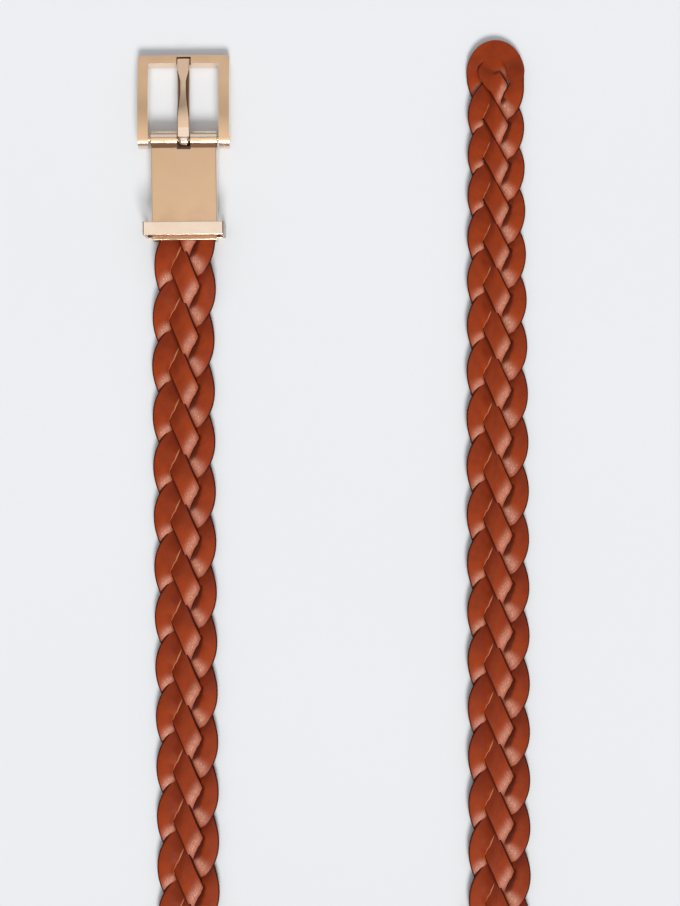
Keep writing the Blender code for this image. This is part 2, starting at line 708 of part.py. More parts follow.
def build_keeper(finish, parent):
    """A rectangular loop round the clamp, with room over the clamp's face for the strap's tip."""
    half = KEEPER_WIDTH / 2
    base, top = -AXIS_HEIGHT, KEEPER_TOP - AXIS_HEIGHT
    near = -CLAMP_REACH + KEEPER_INSET

    def corner(edge):
        return abs(edge.verts[0].co.y - edge.verts[1].co.y) > KEEPER_LENGTH / 2

    loop = box_mesh((-half, near, base), (half, near + KEEPER_LENGTH, top))
    bevel_edges(loop, corner, KEEPER_CORNER, 3)
    keeper = new_object("keeper_loop", loop, finish, parent)
    low = (-half + KEEPER_WALL, near - KEEPER_LENGTH, base + KEEPER_BASE)
    hollow = box_mesh(low, (half - KEEPER_WALL, near + 2 * KEEPER_LENGTH, top - KEEPER_WALL))
    combine(keeper, hollow, "DIFFERENCE")
    shade_round(keeper)
    return keeper


def main():
    for old in list(bpy.data.objects):
        bpy.data.objects.remove(old)
    leather = material("cognac_leather", (0.40, 0.055, 0.018), 0.0, 0.5)
    backing = material("backing_leather", (0.22, 0.10, 0.05), 0.0, 0.8)
    satin = material("satin_rose_gold", (0.70, 0.42, 0.25), 1.0, 0.32)
    polished = material("polished_rose_gold", (0.78, 0.50, 0.32), 1.0, 0.15)
    steel = material("plated_screw", (0.62, 0.45, 0.33), 1.0, 0.3)

    clamp_seat = joint_empty("clamp_seat", HINGE)
    frame_axis = joint_empty("frame_axis", Vector(), clamp_seat)
    prong_axis = joint_empty("prong_axis", Vector(), frame_axis)
    keeper_track = joint_empty("keeper_track", Vector(), clamp_seat)
    build_tip(leather)
    for strand in range(STRANDS):
        build_strand(strand, leather)
    build_clamp(satin, clamp_seat)
    build_back_plate(satin, clamp_seat)
    build_screws(steel, clamp_seat)
    build_end_tab(backing, clamp_seat)
    build_frame(satin, frame_axis)
    build_pin(polished, frame_axis)
    build_prong(polished, prong_axis)
    build_keeper(polished, keeper_track)


main()
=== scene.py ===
"""A plaited leather belt with a pin buckle, laid in a U on a pale table.

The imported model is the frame. The plaited strap, the buckle's bowed frame, the prong, the clamp and the
keeper are built here in finer form round it, and the hidden pieces keep their solids and get finishes.
"""

from __future__ import annotations

import sys

import logging
import math
from bisect import bisect_right
from dataclasses import dataclass
from enum import Enum
from typing import Callable, Sequence

import bpy
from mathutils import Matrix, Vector


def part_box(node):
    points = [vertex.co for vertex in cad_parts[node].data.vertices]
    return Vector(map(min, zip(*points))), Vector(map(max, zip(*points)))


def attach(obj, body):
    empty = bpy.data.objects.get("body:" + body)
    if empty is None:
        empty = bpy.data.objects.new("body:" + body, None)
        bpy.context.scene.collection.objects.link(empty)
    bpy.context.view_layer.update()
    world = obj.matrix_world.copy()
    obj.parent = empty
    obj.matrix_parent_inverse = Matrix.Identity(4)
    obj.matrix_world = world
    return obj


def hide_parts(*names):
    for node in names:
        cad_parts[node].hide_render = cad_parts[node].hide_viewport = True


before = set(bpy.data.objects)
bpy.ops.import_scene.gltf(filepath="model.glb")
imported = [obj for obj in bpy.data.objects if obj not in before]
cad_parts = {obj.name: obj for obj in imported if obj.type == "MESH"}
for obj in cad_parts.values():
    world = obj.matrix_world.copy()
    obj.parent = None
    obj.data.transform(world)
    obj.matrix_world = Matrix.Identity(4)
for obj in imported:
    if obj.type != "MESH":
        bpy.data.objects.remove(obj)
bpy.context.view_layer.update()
# How far a cutter reaches past what it cuts, in metres.
PAST = 0.01

log = logging.getLogger("belt")

Point = tuple[float, float, float]


# Small sums


def clamp(value: float, low: float = 0.0, high: float = 1.0) -> float:
    """The value held between two limits."""
    return min(max(value, low), high)


def ease(share: float) -> float:
    """A smooth step from 0 to 1."""
    share = clamp(share)
    return share * share * (3 - 2 * share)


def mix(start: float, end: float, share: float) -> float:
    """A value part of the way from one to the other."""
    return start + (end - start) * share


def curve_through(knots: Sequence[tuple[float, float, float]], place: float) -> float:
    """A smooth curve through knots.

    Args:
        knots: (place, value, slope) of each knot, in order.
        place: where the curve is read.

    Returns:
        The curve's value there, held at its ends.
    """
    if place <= knots[0][0]:
        return knots[0][1]
    for (start, low, rise), (end, high, fall) in zip(knots, knots[1:]):
        if place <= end:
            span = end - start
            t = (place - start) / span
            lean = t * (1 - t) ** 2 * rise * span - t * t * (1 - t) * fall * span
            return low + (high - low) * t * t * (3 - 2 * t) + lean
    return knots[-1][1]


# Work at the bench


class Bench:
    """Mesh making with Blender's own operators, one piece at a time."""

    @staticmethod
    def clear() -> None:
        """Deselects everything."""
        bpy.ops.object.select_all(action="DESELECT")

    @staticmethod
    def pick(piece: bpy.types.Object) -> None:
        """Makes one piece the only selected and the active one."""
        Bench.clear()
        piece.select_set(True)
        bpy.context.view_layer.objects.active = piece

    @staticmethod
    def edit(piece: bpy.types.Object, *steps: Callable[[], object]) -> None:
        """Runs operators in edit mode on the whole of a piece."""
        Bench.pick(piece)
        bpy.ops.object.mode_set(mode="EDIT")
        bpy.ops.mesh.select_all(action="SELECT")
        for step in steps:
            step()
        bpy.ops.object.mode_set(mode="OBJECT")

    @staticmethod
    def face_out(piece: bpy.types.Object) -> None:
        """Merges doubled corners and turns every face outwards."""
        Bench.edit(
            piece,
            lambda: bpy.ops.mesh.remove_doubles(threshold=1e-6),
            lambda: bpy.ops.mesh.normals_make_consistent(inside=False),
        )

    @staticmethod
    def named(name: str) -> bpy.types.Object:
        """The piece just added, with its name given to it and to its mesh."""
        piece = bpy.context.object
        piece.name = name
        piece.data.name = name
        return piece

    @staticmethod
    def sheet(name: str, places: Sequence[Sequence[Point]]) -> bpy.types.Object:
        """A grid with a corner at each place.

        Args:
            name: the piece's name.
            places: rows of points, all rows equally long.

        Returns:
            The piece, one sheet thick.
        """
        rows, columns = len(places), len(places[0])
        Bench.clear()
        bpy.ops.mesh.primitive_grid_add(x_subdivisions=columns - 1, y_subdivisions=rows - 1, size=1)
        piece = Bench.named(name)
        for vertex in piece.data.vertices:
            column = round((vertex.co.x + 0.5) * (columns - 1))
            row = round((vertex.co.y + 0.5) * (rows - 1))
            vertex.co = places[row][column]
        return piece

    @staticmethod
    def loft(name: str, sections: Sequence[Sequence[Point]]) -> bpy.types.Object:
        """A closed body through closed sections.

        Args:
            name: the piece's name.
            sections: the outlines from one end to the other, all with as many points.

        Returns:
            The piece, with both ends filled.
        """
        piece = Bench.sheet(name, [list(section) + [section[0]] for section in sections])
        Bench.edit(
            piece,
            lambda: bpy.ops.mesh.remove_doubles(threshold=1e-7),
            lambda: bpy.ops.mesh.fill_holes(sides=0),
            lambda: bpy.ops.mesh.normals_make_consistent(inside=False),
        )
        return piece

    @staticmethod
    def prism(name: str, outline: Sequence[tuple[float, float]], low: float, high: float) -> bpy.types.Object:
        """A side view made solid along X.

        Args:
            name: the piece's name.
            outline: (y, z) points round the side view.
            low: its lowest x.
            high: its highest x.

        Returns:
            The piece.
        """
        Bench.clear()
        bpy.ops.mesh.primitive_circle_add(vertices=len(outline), radius=1, fill_type="NGON")
        piece = Bench.named(name)
        for vertex, (y, z) in zip(piece.data.vertices, outline):
            vertex.co = (low, y, z)
        grow = {"value": (high - low, 0, 0)}
        Bench.edit(
            piece,
            lambda: bpy.ops.mesh.extrude_region_move(TRANSFORM_OT_translate=grow),
            lambda: bpy.ops.mesh.select_all(action="SELECT"),
            lambda: bpy.ops.mesh.normals_make_consistent(inside=False),
        )
        return piece

    @staticmethod
    def block(name: str, low: Sequence[float], high: Sequence[float]) -> bpy.types.Object:
        """A box between two corners."""
        middle = [(a + b) / 2 for a, b in zip(low, high)]
        size = [b - a for a, b in zip(low, high)]
        Bench.clear()
        bpy.ops.mesh.primitive_cube_add(size=1, location=middle, scale=size)
        piece = Bench.named(name)
        bpy.ops.object.transform_apply(location=True, rotation=True, scale=True)
        return piece

    @staticmethod
    def rod(
        name: str,
        radius: float,
        low: float,
        high: float,
        y: float,
        z: float,
        sides: int = 64,
    ) -> bpy.types.Object:
        """A round bar along X."""
        Bench.clear()
        bpy.ops.mesh.primitive_cylinder_add(
            vertices=sides,
            radius=radius,
            depth=high - low,
            location=((low + high) / 2, y, z),
            rotation=(0, math.pi / 2, 0),
        )
        piece = Bench.named(name)
        bpy.ops.object.transform_apply(location=True, rotation=True, scale=True)
        return piece

    @staticmethod
    def finish_modifier(piece: bpy.types.Object, modifier: bpy.types.Modifier) -> None:
        """Applies a modifier to its piece."""
        Bench.pick(piece)
        bpy.ops.object.modifier_apply(modifier=modifier.name)

    @staticmethod
    def bevel(piece: bpy.types.Object, width: float, segments: int = 3, angle: float = 40) -> None:
        """Rounds a piece's edges.

        Args:
            piece: the piece.
            width: how far from the edge the rounding starts.
            segments: how many facets it has.
            angle: the least angle of an edge that is rounded, in degrees.
        """
        rounding = piece.modifiers.new("rounding", "BEVEL")
        rounding.width = width
        rounding.segments = segments
        rounding.limit_method = "ANGLE"
        rounding.angle_limit = math.radians(angle)
        rounding.use_clamp_overlap = True
        rounding.harden_normals = False
        Bench.finish_modifier(piece, rounding)

    @staticmethod
    def thicken(piece: bpy.types.Object, thickness: float) -> None:
        """Gives a sheet its wall, half of it on each side."""
        wall = piece.modifiers.new("wall", "SOLIDIFY")
        wall.thickness = thickness
        wall.offset = 0
        wall.use_even_offset = False
        wall.use_rim = True
        Bench.finish_modifier(piece, wall)

    @staticmethod
    def combine(piece: bpy.types.Object, other: bpy.types.Object, operation: str) -> None:
        """Joins another piece to this one, or cuts it away, and uses the other up."""
        joining = piece.modifiers.new("joining", "BOOLEAN")
        joining.operation = operation
        joining.solver = "EXACT"
        joining.object = other
        Bench.finish_modifier(piece, joining)
        mesh = other.data
        bpy.data.objects.remove(other)
        bpy.data.meshes.remove(mesh)

    @staticmethod
    def smooth(piece: bpy.types.Object, degrees: float = 35) -> None:
        """Shades a piece round except at its sharp edges."""
        Bench.pick(piece)
        bpy.ops.object.shade_smooth_by_angle(angle=math.radians(degrees))

    @staticmethod
    def even(piece: bpy.types.Object, degrees: float = 35) -> None:
        """Shades a machined piece round at its bevels and flat on its flats."""
        Bench.smooth(piece, degrees)
        weighing = piece.modifiers.new("weighing", "WEIGHTED_NORMAL")
        weighing.weight = 100
        weighing.keep_sharp = True
        Bench.finish_modifier(piece, weighing)


# Finishes


class Graph:
    """A node tree with short ways to add and link nodes."""

    def __init__(self, tree: bpy.types.NodeTree) -> None:
        """Holds the tree."""
        self.tree = tree

    def add(self, kind: str, **values: object) -> bpy.types.Node:
        """Adds a node and sets its properties."""
        node = self.tree.nodes.new(kind)
        for name, value in values.items():
            setattr(node, name, value)
        return node

    def link(self, source: bpy.types.NodeSocket, target: bpy.types.NodeSocket) -> None:
        """Links two sockets."""
        self.tree.links.new(source, target)

    def math(
        self,
        operation: str,
        first: object,
        second: object = 0.0,
        limit: bool = False,
    ) -> bpy.types.NodeSocket:
        """A sum of two sockets or numbers."""
        node = self.add("ShaderNodeMath", operation=operation, use_clamp=limit)
        for socket, value in zip(node.inputs, (first, second)):
            self.put(value, socket)
        return node.outputs[0]

    def put(self, value: object, socket: bpy.types.NodeSocket) -> None:
        """Links a socket to another, or sets it to a plain value."""
        if isinstance(value, bpy.types.NodeSocket):
            self.link(value, socket)
        else:
            socket.default_value = value

    def spread(
        self,
        value: object,
        low: float,
        high: float,
        out_low: float = 0.0,
        out_high: float = 1.0,
    ) -> bpy.types.NodeSocket:
        """Maps a range of a socket smoothly to another range."""
        node = self.add("ShaderNodeMapRange", interpolation_type="SMOOTHSTEP")
        for socket, given in zip(node.inputs, (value, low, high, out_low, out_high)):
            self.put(given, socket)
        return node.outputs[0]

    def blend(self, share: object, first: object, second: object) -> bpy.types.NodeSocket:
        """Mixes two colours."""
        node = self.add("ShaderNodeMix", data_type="RGBA", blend_type="MIX")
        self.put(share, node.inputs["Factor"])
        for socket, value in ((node.inputs[6], first), (node.inputs[7], second)):
            self.put((*value, 1.0) if isinstance(value, tuple) else value, socket)
        return node.outputs[2]

    def noise(
        self,
        vector: object,
        scale: float,
        detail: float = 3.0,
        rough: float = 0.5,
    ) -> bpy.types.NodeSocket:
        """A noise texture's value."""
        node = self.add("ShaderNodeTexNoise")
        self.put(vector, node.inputs["Vector"])
        node.inputs["Scale"].default_value = scale
        node.inputs["Detail"].default_value = detail
        node.inputs["Roughness"].default_value = rough
        return node.outputs["Fac"]

    def stretched(self, vector: object, scale: Point) -> bpy.types.NodeSocket:
        """Coordinates scaled by axis."""
        node = self.add("ShaderNodeMapping")
        self.put(vector, node.inputs["Vector"])
        node.inputs["Scale"].default_value = scale
        return node.outputs[0]


def new_group(
    name: str,
    inputs: Sequence[tuple[str, str, object]],
    outputs: Sequence[tuple[str, str]],
) -> tuple[Graph, bpy.types.Node, bpy.types.Node]:
    """Starts a shader node group.

    Args:
        name: the group's name.
        inputs: (name, socket kind, default) of each input.
        outputs: (name, socket kind) of each output.

    Returns:
        The group's graph, its input node and its output node.
    """
    tree = bpy.data.node_groups.new(name, "ShaderNodeTree")
    for label, kind, default in inputs:
        socket = tree.interface.new_socket(label, in_out="INPUT", socket_type=kind)
        if default is not None:
            socket.default_value = default
    for label, kind in outputs:
        tree.interface.new_socket(label, in_out="OUTPUT", socket_type=kind)
    graph = Graph(tree)
    return graph, graph.add("NodeGroupInput"), graph.add("NodeGroupOutput")


FLOAT, VECTOR = "NodeSocketFloat", "NodeSocketVector"


def hide_group() -> bpy.types.NodeTree:
    """The surface of finished hide: fine pores and creases, and slow changes of tone."""
    graph, given, out = new_group(
        "hide",
        [("Vector", VECTOR, None), ("Pore size", FLOAT, 0.0009), ("Crease", FLOAT, 0.3)],
        [("Height", FLOAT), ("Tone", FLOAT), ("Fleck", FLOAT)],
    )
    finer = graph.math("DIVIDE", 1.0, given.outputs["Pore size"])
    scaled = graph.add("ShaderNodeVectorMath", operation="SCALE")
    graph.link(given.outputs["Vector"], scaled.inputs[0])
    graph.link(finer, scaled.inputs["Scale"])
    cells = graph.add("ShaderNodeTexVoronoi", feature="DISTANCE_TO_EDGE")
    graph.link(scaled.outputs[0], cells.inputs["Vector"])
    cells.inputs["Scale"].default_value = 1.0
    pebbles = graph.spread(cells.outputs["Distance"], 0.0, 0.35)
    soft = graph.noise(given.outputs["Vector"], 900.0, 3.0, 0.6)
    creases = graph.noise(graph.stretched(given.outputs["Vector"], (900.0, 260.0, 300.0)), 1.0, 3.0, 0.55)
    creases = graph.math("MULTIPLY", graph.spread(creases, 0.35, 0.65), given.outputs["Crease"])
    height = graph.math("ADD", graph.math("MULTIPLY", pebbles, 0.35), graph.math("MULTIPLY", soft, 0.4))
    graph.link(graph.math("ADD", height, creases), out.inputs["Height"])
    slow = graph.noise(given.outputs["Vector"], 120.0, 4.0, 0.6)
    graph.link(graph.spread(slow, 0.32, 0.68), out.inputs["Tone"])
    fleck = graph.noise(given.outputs["Vector"], 1500.0, 2.0, 0.7)
    graph.link(graph.spread(fleck, 0.5, 0.72), out.inputs["Fleck"])
    return graph.tree


def satin_group() -> bpy.types.NodeTree:
    """Plated metal with a fine lengthwise satin and faint marks from handling."""
    graph, given, out = new_group(
        "satin",
        [("Vector", VECTOR, None), ("Grit", FLOAT, 1.0)],
        [("Height", FLOAT), ("Haze", FLOAT), ("Tone", FLOAT)],
    )
    lines = graph.noise(graph.stretched(given.outputs["Vector"], (600.0, 9000.0, 600.0)), 1.0, 2.0, 0.6)
    graph.link(graph.math("MULTIPLY", lines, given.outputs["Grit"]), out.inputs["Height"])
    haze = graph.noise(given.outputs["Vector"], 180.0, 4.0, 0.6)
    graph.link(graph.spread(haze, 0.3, 0.7), out.inputs["Haze"])
    tone = graph.noise(given.outputs["Vector"], 60.0, 2.0, 0.5)
    graph.link(graph.spread(tone, 0.3, 0.7), out.inputs["Tone"])
    return graph.tree


def use_group(graph: Graph, tree: bpy.types.NodeTree, **values: object) -> bpy.types.Node:
    """Places a node group in a material and fills its inputs."""
    node = graph.add("ShaderNodeGroup")
    node.node_tree = tree
    for name, value in values.items():
        graph.put(value, node.inputs[name.replace("_", " ")])
    return node


def new_material(name: str) -> tuple[bpy.types.Material, Graph, bpy.types.Node]:
    """A material with its graph and its Principled shader."""
    material = bpy.data.materials.new(name)
    material.use_nodes = True
    graph = Graph(material.node_tree)
    return material, graph, material.node_tree.nodes["Principled BSDF"]


def add_bump(
    graph: Graph,
    shader: bpy.types.Node,
    height: bpy.types.NodeSocket,
    depth: float,
    strength: float,
) -> None:
    """Gives a shader a bumpy surface.

    Args:
        graph: the material's graph.
        shader: its Principled shader.
        height: the pattern's height, from 0 to 1.
        depth: how deep the pattern is, in metres.
        strength: how much of it shows.
    """
    bump = graph.add("ShaderNodeBump")
    bump.inputs["Distance"].default_value = depth
    bump.inputs["Strength"].default_value = strength
    graph.link(height, bump.inputs["Height"])
    graph.link(bump.outputs["Normal"], shader.inputs["Normal"])


@dataclass(frozen=True)
class PlaitLeather:
    """Cognac leather with dark painted edges, painted shade where strands pass under others, painted light
    and shade along each strand, painted glints on bends and painted highlights on some cut edges.
    """

    name: str
    # The light and deep colours are the painted-lit and painted-shade ends of the light and shade along each
    # strand; the leather's own random tone moves it a little between them.
    light: Point = (0.38, 0.050, 0.006)
    deep: Point = (0.15, 0.016, 0.004)
    # The colour of the painted shade under other strands.
    painted_shade_colour: Point = (0.045, 0.006, 0.002)
    edge: Point = (0.040, 0.004, 0.001)
    # A painted highlight on the cut edge inside some turns.
    pale: Point = (0.46, 0.18, 0.08)
    # A painted glint on the bends.
    glint_colour: Point = (0.88, 0.58, 0.44)
    roughness: float = 0.38
    pore: float = 0.0008

    def make(self, hide: bpy.types.NodeTree) -> bpy.types.Material:
        """Builds the material, which reads the strap's attributes: painted shade, painted light and shade,
        creases with painted glints, painted edge highlights and the place across for its edges.
        """
        material, graph, shader = new_material(self.name)
        grain = graph.add("ShaderNodeUVMap", uv_map="grain").outputs["UV"]
        crease_and_glint = graph.add("ShaderNodeAttribute", attribute_name="crease_and_glint").outputs["Fac"]
        painted_shade = graph.add("ShaderNodeAttribute", attribute_name="painted_shade").outputs["Fac"]
        across = graph.add("ShaderNodeAttribute", attribute_name="across").outputs["Fac"]
        pale = graph.add("ShaderNodeAttribute", attribute_name="pale").outputs["Fac"]
        creased = graph.math("MULTIPLY", crease_and_glint, 1.6)
        skin = use_group(graph, hide, Vector=grain, Pore_size=self.pore, Crease=creased)
        # Painted light and shade along each strand, mixed with the leather's own random tone.
        light = graph.add("ShaderNodeAttribute", attribute_name="light").outputs["Fac"]
        pored = graph.math("MULTIPLY", skin.outputs["Tone"], 0.30)
        tone = graph.math("ADD", graph.math("MULTIPLY", light, 0.75), pored)
        colour = graph.blend(graph.math("ADD", tone, 0.0, limit=True), self.deep, self.light)
        # Painted glint: a paler colour on the bends, kept off the edges.
        glint_share = graph.spread(skin.outputs["Fleck"], 0.0, 1.0, 0.38, 1.0)
        inner = graph.spread(graph.math("ABSOLUTE", across), 0.35, 0.95, 1.0, 0.15)
        glint_share = graph.math("MULTIPLY", graph.math("MULTIPLY", crease_and_glint, glint_share), inner)
        colour = graph.blend(graph.math("MULTIPLY", glint_share, 0.70), colour, self.glint_colour)
        # Painted shade under other strands and on curled edges.
        colour = graph.blend(graph.spread(painted_shade, 0.15, 1.0, 0.0, 0.8), colour, self.painted_shade_colour)
        out = graph.math("ABSOLUTE", across)
        rim = graph.spread(out, 0.83, 0.93)
        colour = graph.blend(rim, colour, self.edge)
        # Painted highlight on the cut edge inside some turns.
        lit = graph.math("MULTIPLY", graph.spread(out, 0.82, 0.89), graph.spread(pale, 0.3, 0.8))
        colour = graph.blend(lit, colour, self.pale)
        graph.link(colour, shader.inputs["Base Color"])
        rough = graph.math("ADD", graph.math("MULTIPLY", skin.outputs["Tone"], 0.10), self.roughness - 0.05)
        rough = graph.math("ADD", rough, graph.math("MULTIPLY", rim, 0.20))
        graph.link(rough, shader.inputs["Roughness"])
        shader.inputs["Specular IOR Level"].default_value = 0.12
        shader.inputs["Coat Weight"].default_value = 0.04
        shader.inputs["Coat Roughness"].default_value = 0.28
        add_bump(graph, shader, skin.outputs["Height"], 0.00016, 0.55)
        return material


@dataclass(frozen=True)
class RawLeather:
    """Unfinished split leather for the hidden tab."""

    name: str
    colour: Point = (0.24, 0.11, 0.055)
    shade: Point = (0.15, 0.065, 0.032)

    def make(self, hide: bpy.types.NodeTree) -> bpy.types.Material:
        """Builds the material on object coordinates."""
        material, graph, shader = new_material(self.name)
        place = graph.add("ShaderNodeTexCoord").outputs["Object"]
        skin = use_group(graph, hide, Vector=place, Pore_size=0.0006, Crease=0.5)
        graph.link(graph.blend(skin.outputs["Tone"], self.shade, self.colour), shader.inputs["Base Color"])
        graph.link(graph.spread(skin.outputs["Fleck"], 0.0, 1.0, 0.8, 0.95), shader.inputs["Roughness"])
        add_bump(graph, shader, skin.outputs["Height"], 0.0002, 0.8)
        return material


@dataclass(frozen=True)
class PlatedMetal:
    """Champagne plating, satin or polished."""

    name: str
    colour: Point
    warm: Point
    roughness: float
    grit: float
    depth: float = 0.000004

    def make(self, satin: bpy.types.NodeTree) -> bpy.types.Material:
        """Builds the material on object coordinates."""
        material, graph, shader = new_material(self.name)
        place = graph.add("ShaderNodeTexCoord").outputs["Object"]
        surface = use_group(graph, satin, Vector=place, Grit=self.grit)
        graph.link(graph.blend(surface.outputs["Tone"], self.colour, self.warm), shader.inputs["Base Color"])
        rough = graph.spread(surface.outputs["Haze"], 0.0, 1.0, self.roughness - 0.03, self.roughness + 0.04)
        graph.link(rough, shader.inputs["Roughness"])
        shader.inputs["Metallic"].default_value = 1.0
        add_bump(graph, shader, surface.outputs["Height"], self.depth, 0.5)
        return material


@dataclass(frozen=True)
class TablePaper:
    """The pale, matt surface that the belt lies on."""

    name: str = "pale_table"
    colour: Point = (0.80, 0.82, 0.85)

    def make(self) -> bpy.types.Material:
        """Builds the material."""
        material, graph, shader = new_material(self.name)
        place = graph.add("ShaderNodeTexCoord").outputs["Object"]
        tone = graph.noise(place, 8.0, 3.0, 0.5)
        darker = tuple(part * 0.985 for part in self.colour)
        graph.link(graph.blend(tone, darker, self.colour), shader.inputs["Base Color"])
        shader.inputs["Roughness"].default_value = 0.9
        shader.inputs["Specular IOR Level"].default_value = 0.1
        return material


class Slot(Enum):
    """The record's material slots."""

    STRAP = "strap_leather"
    BACKING = "backing_leather"
    SATIN = "satin_metal"
    POLISHED = "polished_metal"
    SCREW = "screw_metal"


class Body(Enum):
    """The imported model's bodies."""

    ROOT = "root"
    FRAME = "frame"
    PRONG = "prong"
    KEEPER = "keeper"


@dataclass
class Finishes:
    """The materials, made once, by slot."""

    made: dict[Slot, bpy.types.Material]
    bright: bpy.types.Material
    deep: bpy.types.Material

    @classmethod
    def make(cls) -> Finishes:
        """Builds the shared groups and every material."""
        hide, satin = hide_group(), satin_group()
        champagne, blush = (0.88, 0.59, 0.36), (0.88, 0.58, 0.37)
        made = {
            Slot.STRAP: PlaitLeather("cognac_leather").make(hide),
            Slot.BACKING: RawLeather("split_leather").make(hide),
            Slot.SATIN: PlatedMetal("satin_champagne", champagne, blush, 0.33, 1.0).make(satin),
            Slot.POLISHED: PlatedMetal(
                "polished_champagne", (0.80, 0.57, 0.40), (0.81, 0.58, 0.42), 0.20, 0.3
            ).make(satin),
            Slot.SCREW: PlatedMetal(
                "plated_screw", (0.72, 0.52, 0.38), (0.75, 0.55, 0.41), 0.28, 0.6
            ).make(satin),
        }
        # A polished copy of the plating whose paler colour also adds a painted highlight on bevels, walls,
        # barrels, the knuckle and the keeper's band.
        bright = PlatedMetal(
            "bright_champagne", (0.87, 0.69, 0.54), (0.87, 0.71, 0.57), 0.14, 0.2
        ).make(satin)
        # A darker copy of the plating, used as painted shade in the notch, on the prong's flanks, on the
        # barrels' near flank and groove and at the keeper's ends.
        deep = PlatedMetal("shaded_champagne", (0.26, 0.13, 0.07), (0.30, 0.16, 0.09), 0.22, 0.4).make(satin)
        return cls(made, bright, deep)

    def dress(self, piece: bpy.types.Object, slot: Slot) -> None:
        """Gives a piece one finish all over."""
        piece.data.materials.clear()
        piece.data.materials.append(self.made[slot])

    def touch_up(
        self,
        piece: bpy.types.Object,
        choose: Callable[[bpy.types.MeshPolygon, float], int],
    ) -> None:
        """Gives some faces of a dressed piece the bright finish (1) or the shaded one (2).

        Args:
            piece: the piece, which has its main finish (0).
            choose: which of the three a face gets, from the face and its extent along X.
        """
        piece.data.materials.append(self.bright)
        piece.data.materials.append(self.deep)
        for polygon in piece.data.polygons:
            places = [piece.data.vertices[k].co.x for k in polygon.vertices]
            polygon.material_index = choose(polygon, max(places) - min(places))

    def dress_carried(self, node: str, slot: Slot) -> None:
        """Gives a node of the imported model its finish."""
        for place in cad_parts[node].material_slots:
            place.material = self.made[slot]
        log.info("%s keeps its solid", node)


def place_piece(piece: bpy.types.Object, body: Body, *nodes: str) -> None:
    """Lets a finished piece ride on a body and stand for nodes."""
    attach(piece, body.value)
    if nodes:
        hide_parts(*nodes)
    log.info("%s: %d faces", piece.name, len(piece.data.polygons))


# The strap


@dataclass
class Route:
    """The strap's way over the table: two flat legs, each twisting to stand on its edge round the bend."""

    length: float = 1.0957
    tip_lead: float = 0.0458
    bend_radius: float = 0.072
    twist: float = 0.058
    shift: float = 0.0016
    shift_length: float = 0.045
    rise_length: float = 0.030
    level_length: float = 0.005
    clamp_reach: float = 0.0464
    width: float = 0.0280
    thickness: float = 0.0042
    mouth_height: float = 0.0035
    bend_x: float = 0.0026
    bend_y: float = -0.19178

    def __post_init__(self) -> None:
        """Works out the legs' lengths."""
        self.buckle_leg = (self.length - self.tip_lead - math.pi * self.bend_radius) / 2
        self.tip_leg = self.buckle_leg + self.tip_lead
        self.bend_end = self.tip_leg + math.pi * self.bend_radius

    def at(self, distance: float) -> tuple[Vector, Vector, Vector]:
        """The strap's middle at a distance from the end of the tip.

        Args:
            distance: metres along the strap.

        Returns:
            Its point, its sideways axis and its face's normal.
        """
        turn = -clamp((distance - self.tip_leg) / self.bend_radius, 0.0, math.pi)
        outward = Vector((math.cos(turn), math.sin(turn), 0))
        along = Vector((math.sin(turn), -math.cos(turn), 0))
        middle = Vector((self.bend_x, self.bend_y, 0)) + outward * self.bend_radius
        middle += along * (min(distance - self.tip_leg, 0.0) + max(distance - self.bend_end, 0.0))
        rolled = min(
            ease((distance - self.tip_leg) / self.twist + 1),
            ease((self.bend_end - distance) / self.twist + 1),
        )
        roll = math.pi / 2 * rolled
        normal = Vector((0, 0, math.cos(roll))) + outward * math.sin(roll)
        level = self.length - self.clamp_reach - self.level_length
        middle.x += self.shift * ease((distance - level) / self.shift_length + 1)
        middle.z = self.width / 2 * math.sin(roll) + self.thickness / 2 * math.cos(roll)
        middle.z += self.mouth_height * ease((distance - level) / self.rise_length + 1)
        return middle, normal.cross(along), normal


ROUND_TRIP = 4.0
RIGHT_EDGE = 2.5

# A strand's place across the plait over one round, as (pitches, share of the swing, slope)
WAVE = (
    (0.0, -1.0, 0.0),
    (0.5, -0.725, 0.97),
    (1.25, 0.0, 1.12),
    (2.0, 0.725, 0.97),
    (2.5, 1.0, 0.0),
    (3.0, 0.57, -1.9),
    (3.25, 0.0, -2.3),
    (3.5, -0.57, -1.9),
    (4.0, -1.0, 0.0),
)

# Its level over one round, from -1 under to 1 over
LEVELS = (
    (0.10, 1.0),
    (0.53, -1.0),
    (0.58, -1.0),
    (1.10, 1.0),
    (1.40, 1.0),
    (1.92, -1.0),
    (1.97, -1.0),
    (2.40, 1.0),
    (2.84, 1.0),
    (3.21, -1.0),
    (3.29, -1.0),
    (3.66, 1.0),
    (4.10, 1.0),
)

# How far a row across the strand leans along it, for each metre across
LEANS = (
    (0.0, 0.15),
    (0.25, 0.62),
    (0.86, 0.72),
    (1.25, 0.62),
    (1.64, 0.72),
    (2.25, 0.62),
    (2.50, 0.15),
    (2.965, -0.38),
    (3.535, -0.38),
    (4.0, 0.15),
)

# The share of a strand's half width that shows on the inside of a turn, by pitches past the turn
PINCH = ((-0.20, 1.0), (0.0, 0.68), (0.12, 0.40), (0.26, 0.52), (0.55, 1.0))

# How far the inside of a turn curls down, by pitches past the turn
CURL = ((-0.62, 0.0), (-0.35, 1.0), (0.10, 1.0), (0.30, 0.0))

# Painted light and shade over one round: each part that shows goes from a darker, painted-shade start to a
# lighter, painted-lit end, as the key light from one side would fall on it
PAINTED_LIGHT_AND_SHADE = (
    (0.0, 0.62),
    (0.38, 1.0),
    (0.60, 0.0),
    (0.85, 0.08),
    (1.62, 1.0),
    (1.95, 0.1),
    (2.15, 0.0),
    (3.10, 1.0),
    (3.28, 0.1),
    (3.40, 0.05),
    (4.0, 0.62),
)

